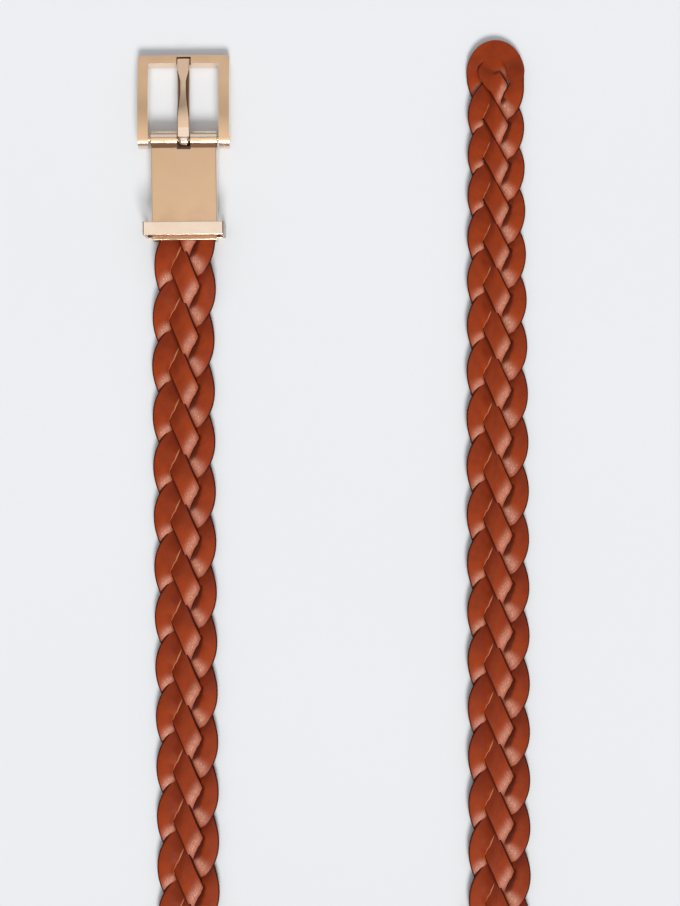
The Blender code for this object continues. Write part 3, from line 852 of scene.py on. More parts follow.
# Where the leather is creased by its bends and gets a painted glint, as (pitches, reach)
CREASES_AND_GLINTS = ((0.27, 0.09), (1.54, 0.10), (2.97, 0.085))


def stepped(knots: Sequence[tuple[float, float]], place: float) -> float:
    """A chain of smooth steps through (place, value) knots, held at its ends."""
    if place <= knots[0][0]:
        return knots[0][1]
    for (start, low), (end, high) in zip(knots, knots[1:]):
        if place <= end:
            return mix(low, high, ease((place - start) / (end - start)))
    return knots[-1][1]


def sloped(knots: Sequence[tuple[float, float]], place: float) -> float:
    """A chain of straight lines through (place, value) knots, held at its ends."""
    if place <= knots[0][0]:
        return knots[0][1]
    for (start, low), (end, high) in zip(knots, knots[1:]):
        if place <= end:
            return mix(low, high, (place - start) / (end - start))
    return knots[-1][1]


@dataclass
class Plait:
    """The pattern of the four strands, laid out flat."""

    width: float = 0.0286
    tip_width: float = 0.0255
    clamp_width: float = 0.0276
    strand_width: float = 0.0100
    tip_strand_width: float = 0.0087
    clamp_at: float = 1.0493
    thickness: float = 0.0015
    lift: float = 0.00115
    crown: float = 0.00055
    curl_depth: float = 0.00060
    pitch: float = 0.0230
    tip_pitch: float = 0.0172
    head_length: float = 0.0208
    tight_pitches: float = 8.77
    middle_pitch: float = 0.02385
    lag: float = 0.50
    tip_lag: float = 0.25

    def __post_init__(self) -> None:
        """Adds up the pitches along the strap, which grow from the tip."""
        first = (ROUND_TRIP / 2 + self.tip_lag) / 2
        self.offsets = (first - 1, first, first + 2, first + 1)
        self.pitch_knots = (
            (self.head_length, self.tip_pitch),
            (0.186, 0.0223),
            (0.40, 0.0223),
            (0.47, self.middle_pitch),
            (0.62, self.middle_pitch),
            (0.69, 0.02315),
        )
        self.counted = [0.0]
        for n in range(1150):
            pitch = sloped(self.pitch_knots, self.head_length + (n + 0.5) * 0.001)
            self.counted.append(self.counted[-1] + 0.001 / pitch)

    def distance(self, pitches: float) -> float:
        """Distance from the end of the tip, where the first crossing is at pitch 0."""
        if pitches < 0:
            return self.head_length + pitches * self.tip_pitch
        n = min(bisect_right(self.counted, pitches), len(self.counted) - 1)
        low, high = self.counted[n - 1], self.counted[n]
        return self.head_length + (n - 1 + (pitches - low) / (high - low)) * 0.001

    def pitches(self, distance: float) -> float:
        """The inverse of distance."""
        beyond = (distance - self.head_length) / 0.001
        if beyond < 0:
            return beyond * 0.001 / self.tip_pitch
        n = min(int(beyond), len(self.counted) - 2)
        return mix(self.counted[n], self.counted[n + 1], beyond - n)

    def pitch_at(self, pitches: float) -> float:
        """The pitch at a place along the plait."""
        return sloped(self.pitch_knots, self.distance(pitches))

    def settled(self, phase: float, pitches: float) -> float:
        """A phase as a share of a settled round, in which the run to the right takes 2.5 pitches."""
        phase %= ROUND_TRIP
        right = ROUND_TRIP / 2 + mix(self.tip_lag, self.lag, ease(pitches / self.tight_pitches))
        if phase < right:
            return phase * RIGHT_EDGE / right
        return RIGHT_EDGE + (phase - right) * (ROUND_TRIP - RIGHT_EDGE) / (ROUND_TRIP - right)

    def width_at(self, distance: float) -> float:
        """The plait's width, which is less at the tip and where the clamp grips it."""
        grown = mix(self.tip_width, self.width, ease((distance - 0.02) / 0.20) ** 0.8)
        return mix(grown, self.clamp_width, ease((distance - self.clamp_at + 0.030) / 0.030))

    def strand_width_at(self, pitches: float) -> float:
        """A strand's width, which is less at the tip."""
        return mix(self.tip_strand_width, self.strand_width, ease(pitches / self.tight_pitches))

    def swing(self, pitches: float) -> float:
        """How far a strand's middle goes from the plait's middle."""
        return (self.width_at(self.distance(pitches)) - self.strand_width_at(pitches)) / 2

    def sideways(self, phase: float, pitches: float) -> float:
        """A strand's middle across the plait."""
        return self.swing(pitches) * curve_through(WAVE, self.settled(phase, pitches))

    def level(self, phase: float, pitches: float) -> float:
        """From -1 where the strand passes under to 1 where it passes over."""
        return stepped(LEVELS, self.settled(phase, pitches))

    def lean(self, phase: float, pitches: float) -> float:
        """Pitches that a row leads per metre across, to lie along the strands it crosses."""
        place = self.settled(phase, pitches)
        slope = (curve_through(WAVE, place + 0.01) - curve_through(WAVE, place - 0.01)) / 0.02
        pitch = self.pitch_at(pitches)
        slant = slope * self.swing(pitches) / pitch
        return sloped(LEANS, place) / (pitch * math.sqrt(1 + slant * slant))

    def across(self, phase: float, pitches: float, share: float) -> float:
        """How far a point lies from the strand's middle: the inside of a turn is drawn in."""
        past, inside = self.turn(self.settled(phase, pitches), share)
        shown = stepped(PINCH, past) if inside > 0 else 1.0
        return share * shown * self.strand_width_at(pitches) / 2

    @staticmethod
    def turn(place: float, share: float) -> tuple[float, float]:
        """How far past the nearer turn a place is, to the right, and how far inside the turn."""
        if place < RIGHT_EDGE / 2:
            return place, share
        if place < (RIGHT_EDGE + ROUND_TRIP) / 2:
            return RIGHT_EDGE - place, -share
        return place - ROUND_TRIP, share

    def curl(self, phase: float, pitches: float, share: float) -> float:
        """How far the inside of a turn curls down, from 0 to 1."""
        past, inside = self.turn(self.settled(phase, pitches), share)
        return stepped(CURL, past) * ease((inside - 0.15) / 0.85)

    def facing(self, phase: float, pitches: float, share: float) -> tuple[float, float]:
        """A strand's place and share across as seen from one side of the table.

        The second leg lies the other way round, and the plait looks the same after a half turn.
        """
        # Painted light, shade, glints and edge highlights are placed as seen from one side, so they follow
        # the key light on both legs.
        place = self.settled(phase, pitches)
        if self.distance(pitches) < 0.57:
            return place, share
        return (RIGHT_EDGE - place if place < RIGHT_EDGE else RIGHT_EDGE + ROUND_TRIP - place), -share

    def plan(self, strand: int, phase: float, across: float) -> tuple[float, float]:
        """Where a point of a strand is in the flat plait.

        Args:
            strand: which strand.
            phase: pitches along it.
            across: metres from its middle.

        Returns:
            Its place across the plait and its distance from the end of the tip.
        """
        pitches = phase - self.offsets[strand]
        step = 0.01
        before = self.sideways(phase - step, pitches - step), self.distance(pitches - step)
        after = self.sideways(phase + step, pitches + step), self.distance(pitches + step)
        along = Vector((after[0] - before[0], after[1] - before[1])).normalized()
        side = (before[0] + after[0]) / 2
        return side + across * along.y, self.distance(pitches) - across * along.x

    def painted_shade(self, phase: float, pitches: float) -> float:
        """How deep in shade the strand lies: 1 under another strand."""
        return clamp(0.35 - 0.65 * self.level(phase, pitches))

    @staticmethod
    def crease_and_glint(place: float) -> float:
        """How creased the leather is, which also sets its painted glint: most where it bends down to dive
        under.
        """
        return max(math.exp(-(((place - centre) / reach) ** 2)) for centre, reach in CREASES_AND_GLINTS)

    @staticmethod
    def edge_highlight(place: float, share: float) -> float:
        """Where the cut edge on the inside of a turn is bent up and gets a painted highlight, as if catching
        the key light.
        """
        past = place - ROUND_TRIP if place > RIGHT_EDGE else place
        along = stepped(((-0.62, 0.0), (-0.45, 1.0), (0.20, 1.0), (0.34, 0.0)), past)
        return along * ease((share - 0.4) / 0.4)


@dataclass
class Corner:
    """A point of a strand's middle surface, with what its finish needs to know."""

    side: float
    distance: float
    height: float
    across: float
    # Painted shade where the strand lies under another or curls down.
    painted_shade: float
    # How creased the leather is, which also sets its painted glint.
    crease_and_glint: float
    # Painted highlight on the cut edge inside some turns.
    pale: float
    # Painted light and shade along the strand, from 0 shaded to 1 lit.
    light: float
    grain: tuple[float, float]


@dataclass
class Strap:
    """The plaited strap: the solid tip and four strands."""

    route: Route
    plait: Plait
    columns: int = 9
    step: float = 0.036
    tip_columns: int = 7
    in_clamp: float = 0.012
    join_gap: float = 0.017
    head_start: float = 0.0013
    head_round: float = 0.0161
    head_width: float = 0.0262
    outer_slit: float = 0.0097
    middle_slit: float = 0.0150
    slit_gap: float = 0.00025
    risen: float = 0.6
    parted: float = 0.4

    # The lines of the left and the right slit, as (distance, place across, slope)
    LEFT_SLIT = (
        (0.0, 0.0, -0.5),
        (0.0099, -0.0046, -0.75),
        (0.0135, -0.0073, -0.6),
        (0.0180, -0.0088, 0.0),
        (0.0230, -0.0074, 0.4),
    )
    RIGHT_SLIT = (
        (0.0, 0.0, 0.2),
        (0.0097, 0.0022, 0.5),
        (0.0135, 0.0043, 0.4),
        (0.0175, 0.0052, 0.0),
        (0.0235, 0.0038, -0.4),
    )

    def corner(self, strand: int, phase: float, share: float, leaning: float = 1.0, held: int = 0) -> Corner:
        """A point of a strand.

        Args:
            strand: which strand.
            phase: the phase of the strand's middle on this row.
            share: the place across the strand, from -1 to 1.
            leaning: how much of its lean the row has.
            held: the edge that the strand runs straight along, -1 or 1, or 0 where it follows the plait.

        Returns:
            The point in the flat plait.
        """
        plait = self.plait
        pitches = phase - plait.offsets[strand]
        across = plait.across(phase, pitches, share)
        local = phase - leaning * plait.lean(phase, pitches) * across
        side, distance = plait.plan(strand, local, across)
        if held:
            side = held * plait.swing(pitches) + across
            distance = plait.distance(local - plait.offsets[strand])
        level = plait.level(phase, pitches)
        place, faced = plait.facing(phase, pitches, share)
        # Creases, with a painted glint where the bends would catch the key light.
        creased = plait.crease_and_glint(place)
        # Painted highlight on the cut edge inside the turns that face the key light.
        pale = plait.edge_highlight(place, faced)
        ripple = 0.00005 * creased * math.sin(share * 9.0 + local * 7.0 + strand)
        height = plait.lift * level + plait.crown * (0.6 - share * share) + ripple
        height -= plait.curl_depth * plait.curl(phase, pitches, share)
        grain = (share * plait.strand_width / 2, phase * plait.pitch)
        # Painted light and shade: darker where the strand rises, lighter where it falls towards the key
        # light.
        light = sloped(PAINTED_LIGHT_AND_SHADE, place)
        painted_shade = plait.painted_shade(phase, pitches)
        # Painted shade on the curled-down inside of the turns that face away from the key light.
        if RIGHT_EDGE / 2 < place < (RIGHT_EDGE + ROUND_TRIP) / 2:
            painted_shade = max(painted_shade, ease(1.7 * plait.curl(phase, pitches, share)))
        return Corner(side, distance, height, share, painted_shade, creased, pale, light, grain)

    def point(self, corner: Corner) -> Vector:
        """A corner's place in space."""
        middle, lateral, normal = self.route.at(corner.distance)
        return middle + lateral * corner.side + normal * corner.height

    def make_sheet(self, name: str, rows: Sequence[Sequence[Corner]]) -> bpy.types.Object:
        """A sheet through rows of corners, with its finish's attributes."""
        piece = Bench.sheet(name, [[tuple(self.point(corner)) for corner in row] for row in rows])
        columns = len(rows[0])
        mesh = piece.data
        self.write(mesh, [corner for row in rows for corner in row], columns)
        return piece

    def write(self, mesh: bpy.types.Mesh, corners: Sequence[Corner], columns: int) -> None:
        """Writes the attributes and the grain's map onto a grid whose corners run row by row."""
        for name in ("across", "painted_shade", "crease_and_glint", "pale", "light"):
            layer = mesh.attributes.new(name, "FLOAT", "POINT")
            layer.data.foreach_set("value", [getattr(corner, name) for corner in corners])
        grain = mesh.uv_layers["UVMap"] if "UVMap" in mesh.uv_layers else mesh.uv_layers.new(name="UVMap")
        grain.name = "grain"
        mapped = []
        for loop in mesh.loops:
            mapped.extend(corners[loop.vertex_index].grain)
        mesh.uv_layers["grain"].data.foreach_set("uv", mapped)

    def finish(self, piece: bpy.types.Object) -> None:
        """Gives a strap piece its thickness and its rounded edges."""
        Bench.thicken(piece, self.plait.thickness)
        Bench.bevel(piece, 0.00035, 2, 50)
        Bench.smooth(piece, 40)

    def build_strand(self, strand: int, start: float) -> bpy.types.Object:
        """One strand, from where it leaves the tip's piece to its end inside the clamp."""
        inside = self.route.length - self.route.clamp_reach + self.in_clamp
        end = self.plait.pitches(inside) + self.plait.offsets[strand]
        count = round((end - start) / self.step)
        rows = []
        for n in range(count + 1):
            phase = mix(start, end, n / count)
            across = [2 * k / (self.columns - 1) - 1 for k in range(self.columns)]
            rows.append([self.corner(strand, phase, share) for share in across])
        piece = self.make_sheet(f"strand_{strand + 1}_leather", rows)
        self.finish(piece)
        return piece

    def head_half_width(self, distance: float) -> float:
        """The tip's half width: half an ellipse, then the plait's own half width."""
        along = clamp((distance - self.head_start) / (self.head_round - self.head_start))
        half = self.head_width / 2 * math.sqrt(max(1 - (1 - along) ** 2, 0.0))
        return mix(half, self.plait.tip_width / 2, ease((distance - self.head_round) / self.head_round))

    def lane_edge(self, edge: int, distance: float) -> float:
        """The line between two strands' lanes in the solid head, or the head's own outline."""
        half = self.head_half_width(distance)
        if edge == 1:
            return max(curve_through(self.LEFT_SLIT, distance), -half)
        if edge == 2:
            return -0.0004 * ease(distance / self.middle_slit)
        if edge == 3:
            return min(curve_through(self.RIGHT_SLIT, distance), half)
        return -half if edge == 0 else half

    def tip_row(self, strand: int, phase: float) -> list[Corner]:
        """A row of the tip: the head's own where it is solid, a strand's past the slits."""
        plait = self.plait
        pitches = phase - plait.offsets[strand]
        distance = max(plait.distance(pitches), self.head_start)
        leaning = ease((distance - self.outer_slit) / (plait.head_length - self.outer_slit))
        shares = [2 * k / (self.tip_columns - 1) - 1 for k in range(self.tip_columns)]
        held = -1 if strand == 0 and phase < 0 else 1 if strand == 3 and phase < 2 + plait.tip_lag else 0
        own = [self.corner(strand, phase, share, leaning, held) for share in shares]
        first = plait.offsets[strand] + (0.0 if strand in (1, 2) else 0.5)
        sign = 1 if strand in (1, 3) else -1
        height = sign * plait.lift if phase < first else plait.lift * plait.level(phase, pitches)
        ends = []
        for end in (0, 1):
            edge = strand + end
            slit = self.middle_slit if edge == 2 else self.outer_slit
            gone = (distance - slit) / (plait.head_length - slit)
            inset = 0.0 if edge in (0, 4) else self.slit_gap * clamp(gone)
            ends.append((self.lane_edge(edge, distance) + (-inset if end else inset), gone))
        row = []
        for k, corner in enumerate(own):
            share = k / (self.tip_columns - 1)
            gone = mix(ends[0][1], ends[1][1], share)
            parted = ease((gone - self.parted) / (1 - self.parted))
            side = mix(ends[0][0], ends[1][0], share)
            bend = height * ease(gone / self.risen)
            crown = plait.crown * (0.6 - corner.across**2) * ease(gone)
            free = clamp(gone)
            outer = strand == 0 and k == 0 or strand == 3 and k == self.tip_columns - 1
            across = corner.across * free if not outer else corner.across
            edge_share = across if free > 0.02 or outer else 0.0
            row.append(
                Corner(
                    mix(side, corner.side, parted),
                    mix(distance, corner.distance, parted),
                    bend + crown,
                    edge_share,
                    # A little painted shade in the solid head, the strand's own past the slits.
                    0.1 * free if phase < first else corner.painted_shade,
                    # Creases and painted glint grow in past the slits.
                    corner.crease_and_glint * free,
                    # Painted edge highlight grows in past the slits.
                    corner.pale * free,
                    # Painted light and shade: an even middle value in the solid head, the strand's own past
                    # the slits.
                    mix(0.42, corner.light, free),
                    (mix(side, corner.side, parted), distance),
                )
            )
        return row

    def build_tip(self, ends: Sequence[float]) -> bpy.types.Object:
        """The head and the roots of the strands.

        Args:
            ends: the phase at which each strand's root ends.

        Returns:
            The tip's piece, its lanes merged where the head is solid.
        """
        plait = self.plait
        reach = self.head_round - self.head_start
        head = [self.head_start + reach * (1 - math.cos(math.radians(angle))) for angle in range(0, 68, 4)]
        count = 16
        head += [mix(head[-1], plait.head_length, (n + 1) / count) for n in range(count - 1)]
        lanes = []
        for strand, end in enumerate(ends):
            phases = [plait.pitches(distance) + plait.offsets[strand] for distance in head]
            phases = [phase for phase in phases if phase < end - 0.02]
            while phases[-1] < end - 0.01:
                phases.append(min(phases[-1] + self.step, end))
            lanes.append(self.make_sheet(f"lane_{strand}", [self.tip_row(strand, phase) for phase in phases]))
        Bench.clear()
        for lane in lanes:
            lane.select_set(True)
        bpy.context.view_layer.objects.active = lanes[0]
        bpy.ops.object.join()
        piece = Bench.named("tip_leather")
        Bench.edit(
            piece,
            lambda: bpy.ops.mesh.remove_doubles(threshold=2e-6),
            lambda: bpy.ops.mesh.normals_make_consistent(inside=False),
        )
        self.finish(piece)
        return piece

    def build(self, finishes: Finishes) -> None:
        """Builds the whole strap and dresses it."""
        right = ROUND_TRIP / 2 + self.plait.tip_lag
        left = ROUND_TRIP - right
        knots = (right * 0.25, right * 0.75, right + left / 2, right + left / 2)
        tip = self.build_tip(knots)
        finishes.dress(tip, Slot.STRAP)
        place_piece(tip, Body.ROOT, "strap_tip")
        for strand, knot in enumerate(knots):
            piece = self.build_strand(strand, knot + self.join_gap)
            finishes.dress(piece, Slot.STRAP)
            place_piece(piece, Body.ROOT, f"strand_{strand + 1}")


# The buckle


class Arch:
    """The top line of a bowed piece in side view, from a ring round the hinge axis to a far end."""

    def __init__(self, ring: float, reach: float, fall: float, end_height: float) -> None:
        """Finds the arc that leaves the ring smoothly and reaches the far end.

        Args:
            ring: the ring's radius.
            reach: how far the far end is from the axis.
            fall: the line's slope at the far end, in radians.
            end_height: the far end's height over the axis.
        """
        low, high = math.radians(-30), math.radians(60)
        for _ in range(60):
            self.rise = (low + high) / 2
            self.radius = (reach + ring * math.sin(self.rise)) / (math.sin(self.rise) + math.sin(fall))
            drop = self.radius * (math.cos(fall) - math.cos(self.rise))
            if ring * math.cos(self.rise) + drop > end_height:
                high = self.rise
            else:
                low = self.rise
        self.ring = ring
        self.fall = fall

    def point(self, slope: float, depth: float = 0.0) -> tuple[float, float]:
        """The (y, z) point where the line has this slope, or the one at a depth below it."""
        y = -self.ring * math.sin(self.rise) + self.radius * (math.sin(self.rise) - math.sin(slope))
        z = self.ring * math.cos(self.rise) + self.radius * (math.cos(slope) - math.cos(self.rise))
        return y + depth * math.sin(slope), z - depth * math.cos(slope)

    def slope_before_end(self, length: float) -> float:
        """The slope at this length back from the far end."""
        return -self.fall + length / self.radius

    def outline(
        self,
        thickness: float,
        steps: int,
        start_length: float,
        sides: int,
    ) -> list[tuple[float, float]]:
        """The side view of a strip under the line with its ring.

        Args:
            thickness: the strip's thickness.
            steps: how many facets the line has.
            start_length: how far along the strip's underside meets the ring.
            sides: how many facets the ring has.

        Returns:
            (y, z) points round the side view.
        """
        top = [self.point(mix(-self.fall, self.rise, n / steps)) for n in range(steps + 1)]
        around = 90 + math.degrees(self.rise)
        ring = []
        for n in range(1, sides):
            angle = math.radians(around + (300 - around) * n / sides)
            ring.append((self.ring * math.cos(angle), self.ring * math.sin(angle)))
        start = self.rise - start_length / self.radius
        under = [self.point(mix(start, -self.fall, n / steps), thickness) for n in range(steps + 1)]
        return top + ring + under


@dataclass
class Buckle:
    """The bowed frame and the prong, both round the hinge axis."""

    x: float
    y: float
    z: float
    width: float = 0.0416
    opening: float = 0.0321
    reach: float = 0.0384
    thickness: float = 0.0044
    front_bar: float = 0.0041
    fall: float = math.radians(20)
    corner: float = 0.0024
    opening_corner: float = 0.0010
    eye: float = 0.0043
    pin: float = 0.00125
    running_gap: float = 0.0001
    prong_width: float = 0.0057
    prong_setback: float = 0.0020
    prong_thickness: float = 0.0023
    prong_ring: float = 0.0035
    prong_fall: float = math.radians(17)
    notch: float = 0.0015
    notch_rim: float = 0.0009
    notch_play: float = 0.0004
    fit_gap: float = 0.0003

    def frame_arch(self) -> Arch:
        """The frame's top line, whose front bar rests on the table."""
        return Arch(self.eye, self.reach, self.fall, -self.z + self.thickness * math.cos(self.fall))

    def prong_arch(self) -> Arch:
        """The prong's top line, whose end lies in the notch."""
        bow = self.frame_arch()
        floor = bow.point(bow.slope_before_end(self.prong_setback), self.notch)
        end = floor[1] + self.fit_gap + self.prong_thickness * math.cos(self.prong_fall)
        return Arch(self.prong_ring, self.reach - self.prong_setback, self.prong_fall, end)

    def placed(self, outline: Sequence[tuple[float, float]]) -> list[tuple[float, float]]:
        """Points round the hinge axis, in the belt's own frame."""
        return [(self.y + y, self.z + z) for y, z in outline]

    def round_uprights(
        self,
        piece: bpy.types.Object,
        chosen: Callable[[Vector, Vector], bool],
        radius: float,
    ) -> None:
        """Rounds the edges of a piece that a test chooses by their two ends."""
        for edge in piece.data.edges:
            ends = [piece.data.vertices[k].co for k in edge.vertices]
            edge.select = chosen(*ends)
        Bench.pick(piece)
        bpy.ops.object.mode_set(mode="EDIT")
        bpy.ops.mesh.select_mode(type="EDGE")
        bpy.ops.object.mode_set(mode="OBJECT")
        for polygon in piece.data.polygons:
            polygon.select = False
        for vertex in piece.data.vertices:
            vertex.select = False
        for edge in piece.data.edges:
            ends = [piece.data.vertices[k].co for k in edge.vertices]
            edge.select = chosen(*ends)
        bpy.ops.object.mode_set(mode="EDIT")
        bpy.ops.mesh.bevel(offset=radius, segments=8, affect="EDGES")
        bpy.ops.mesh.select_mode(type="VERT")
        bpy.ops.object.mode_set(mode="OBJECT")

    def build_frame(self) -> bpy.types.Object:
        """The bowed U: front bar with a notch, two arms that end in eyes."""
        arch = self.frame_arch()
        outline = self.placed(arch.outline(self.thickness, 28, 2 * self.eye, 40))
        low, high = self.x - self.width / 2, self.x + self.width / 2
        piece = Bench.prism("buckle_frame_bow", outline, low, high)
        top, under = arch.point(-arch.fall), arch.point(-arch.fall, self.thickness)
        far_z = sorted((top[1] + self.z, under[1] + self.z))

        def upright_end(first: Vector, second: Vector) -> bool:
            """Whether an edge runs through the thickness at the far end."""
            heights = sorted((first.z, second.z))
            return abs(heights[0] - far_z[0]) < 1e-5 and abs(heights[1] - far_z[1]) < 1e-5

        self.round_uprights(piece, upright_end, self.corner)
        inner = arch.slope_before_end(self.front_bar)
        wall_low, wall_high = arch.point(inner, -2 * self.thickness), arch.point(inner, 4 * self.thickness)
        back = -4 * self.eye
        cutter = Bench.prism(
            "opening_cutter",
            self.placed([(back, back), wall_high, wall_low, (back, -back)]),
            self.x - self.opening / 2,
            self.x + self.opening / 2,
        )

        def upright_beyond(first: Vector, second: Vector) -> bool:
            """Whether an edge of the cutter stands upright past the hinge."""
            return abs(first.x - second.x) < 1e-6 and min(first.y, second.y) > self.y

        self.round_uprights(cutter, upright_beyond, self.opening_corner)
        Bench.combine(piece, cutter, "DIFFERENCE")
        start, end = arch.slope_before_end(2 * self.front_bar), arch.slope_before_end(self.notch_rim)
        notch = [arch.point(start, self.notch), arch.point(end, self.notch)]
        notch += [arch.point(end, -self.thickness), arch.point(start, -self.thickness)]
        half = self.prong_width / 2 + self.notch_play
        slot = Bench.prism("notch_cutter", self.placed(notch), self.x - half, self.x + half)
        Bench.combine(piece, slot, "DIFFERENCE")
        bore_radius = self.pin + self.running_gap
        bore = Bench.rod("bore_cutter", bore_radius, low - PAST, high + PAST, self.y, self.z)
        Bench.combine(piece, bore, "DIFFERENCE")
        Bench.face_out(piece)
        Bench.bevel(piece, 0.00040, 3, 45)
        Bench.even(piece, 30)
        return piece

    def prong_section(self, slope: float, arch: Arch, share: float) -> list[Point]:
        """One outline across the prong's shank.

        Args:
            slope: the top line's slope here.
            arch: the top line.
            share: the place along the shank, 0 at the ring and 1 at the end.

        Returns:
            The points round the section.
        """
        half = self.prong_width / 2 * (1 - 0.04 * math.sin(math.pi * share))
        hollow = ease((share - 0.22) / 0.36) * ease((0.85 - share) / 0.17)
        ridge = mix(half - 0.0004, 0.00125, hollow)
        section = [(-half + 0.0003, 1.0), (-half, 0.88)]
        for n in range(1, 5):
            t = n / 5
            scoop = 0.78 * (1 - t) ** 1.7
            flat = 0.16 * (1 - t)
            section.append((-mix(half, ridge, t), mix(flat, scoop, hollow)))
        section.append((-ridge, 0.0))
        section.append((0.0, -0.03))
        mirrored = [(-across, depth) for across, depth in reversed(section[:-1])]
        points = []
        for across, depth in section + mirrored:
            y, z = arch.point(slope, depth * self.prong_thickness)
            points.append((self.x + across, self.y + y, self.z + z))
        return points

    def build_prong(self) -> bpy.types.Object:
        """The hollow-ground shank, its ball-like knuckle and its blunt end."""
        arch = self.prong_arch()
        sections = []
        count = 44
        for n in range(count + 1):
            share = n / count
            slope = mix(arch.rise, -arch.fall, 0.03 + 0.97 * share)
            sections.append(self.prong_section(slope, arch, share))
        piece = Bench.loft("prong_shank", sections)
        half = self.prong_width / 2
        knuckle = Bench.rod("knuckle", self.prong_ring, self.x - half, self.x + half, self.y, self.z, 56)
        Bench.bevel(knuckle, 0.0017, 7, 60)
        Bench.combine(piece, knuckle, "UNION")
        bore_radius = self.pin + self.running_gap
        bore = Bench.rod(
            "prong_bore", bore_radius, self.x - PAST, self.x + PAST, self.y, self.z, 40
        )
        Bench.combine(piece, bore, "DIFFERENCE")
        Bench.face_out(piece)
        Bench.bevel(piece, 0.00018, 2, 50)
        Bench.even(piece, 38)
        return piece

    def build(self, finishes: Finishes) -> None:
        """Builds the frame and the prong and dresses them."""
        bow = self.build_frame()
        finishes.dress(bow, Slot.SATIN)
        finishes.touch_up(bow, self.frame_finish)
        place_piece(bow, Body.FRAME, "buckle_frame")
        prong = self.build_prong()
        finishes.dress(prong, Slot.POLISHED)
        finishes.touch_up(prong, self.prong_finish)
        place_piece(prong, Body.PRONG, "prong")

    def frame_finish(self, polygon: bpy.types.MeshPolygon, extent: float) -> int:
        """The top is satin, bevels and walls are bright, and the notch is in shade."""
        half = self.prong_width / 2 + self.notch_play + 0.0001
        in_notch = abs(polygon.center.x - self.x) < half and extent < 2 * half
        if in_notch and abs(polygon.normal.z) < 0.99 and polygon.center.y < self.y + self.reach - 0.0009:
            return 2 if polygon.center.z > self.z - self.thickness and polygon.normal.z > -0.5 else 1
        return 0 if polygon.normal.z > 0.86 else 1

    def prong_finish(self, polygon: bpy.types.MeshPolygon, extent: float) -> int:
        """The hollow-ground flanks are in shade and the knuckle is bright."""
        along = (polygon.center.y - self.y) / self.reach
        if 0.26 < along < 0.80 and abs(polygon.normal.x) > 0.30:
            return 2
        return 1 if along < 0.12 else 0


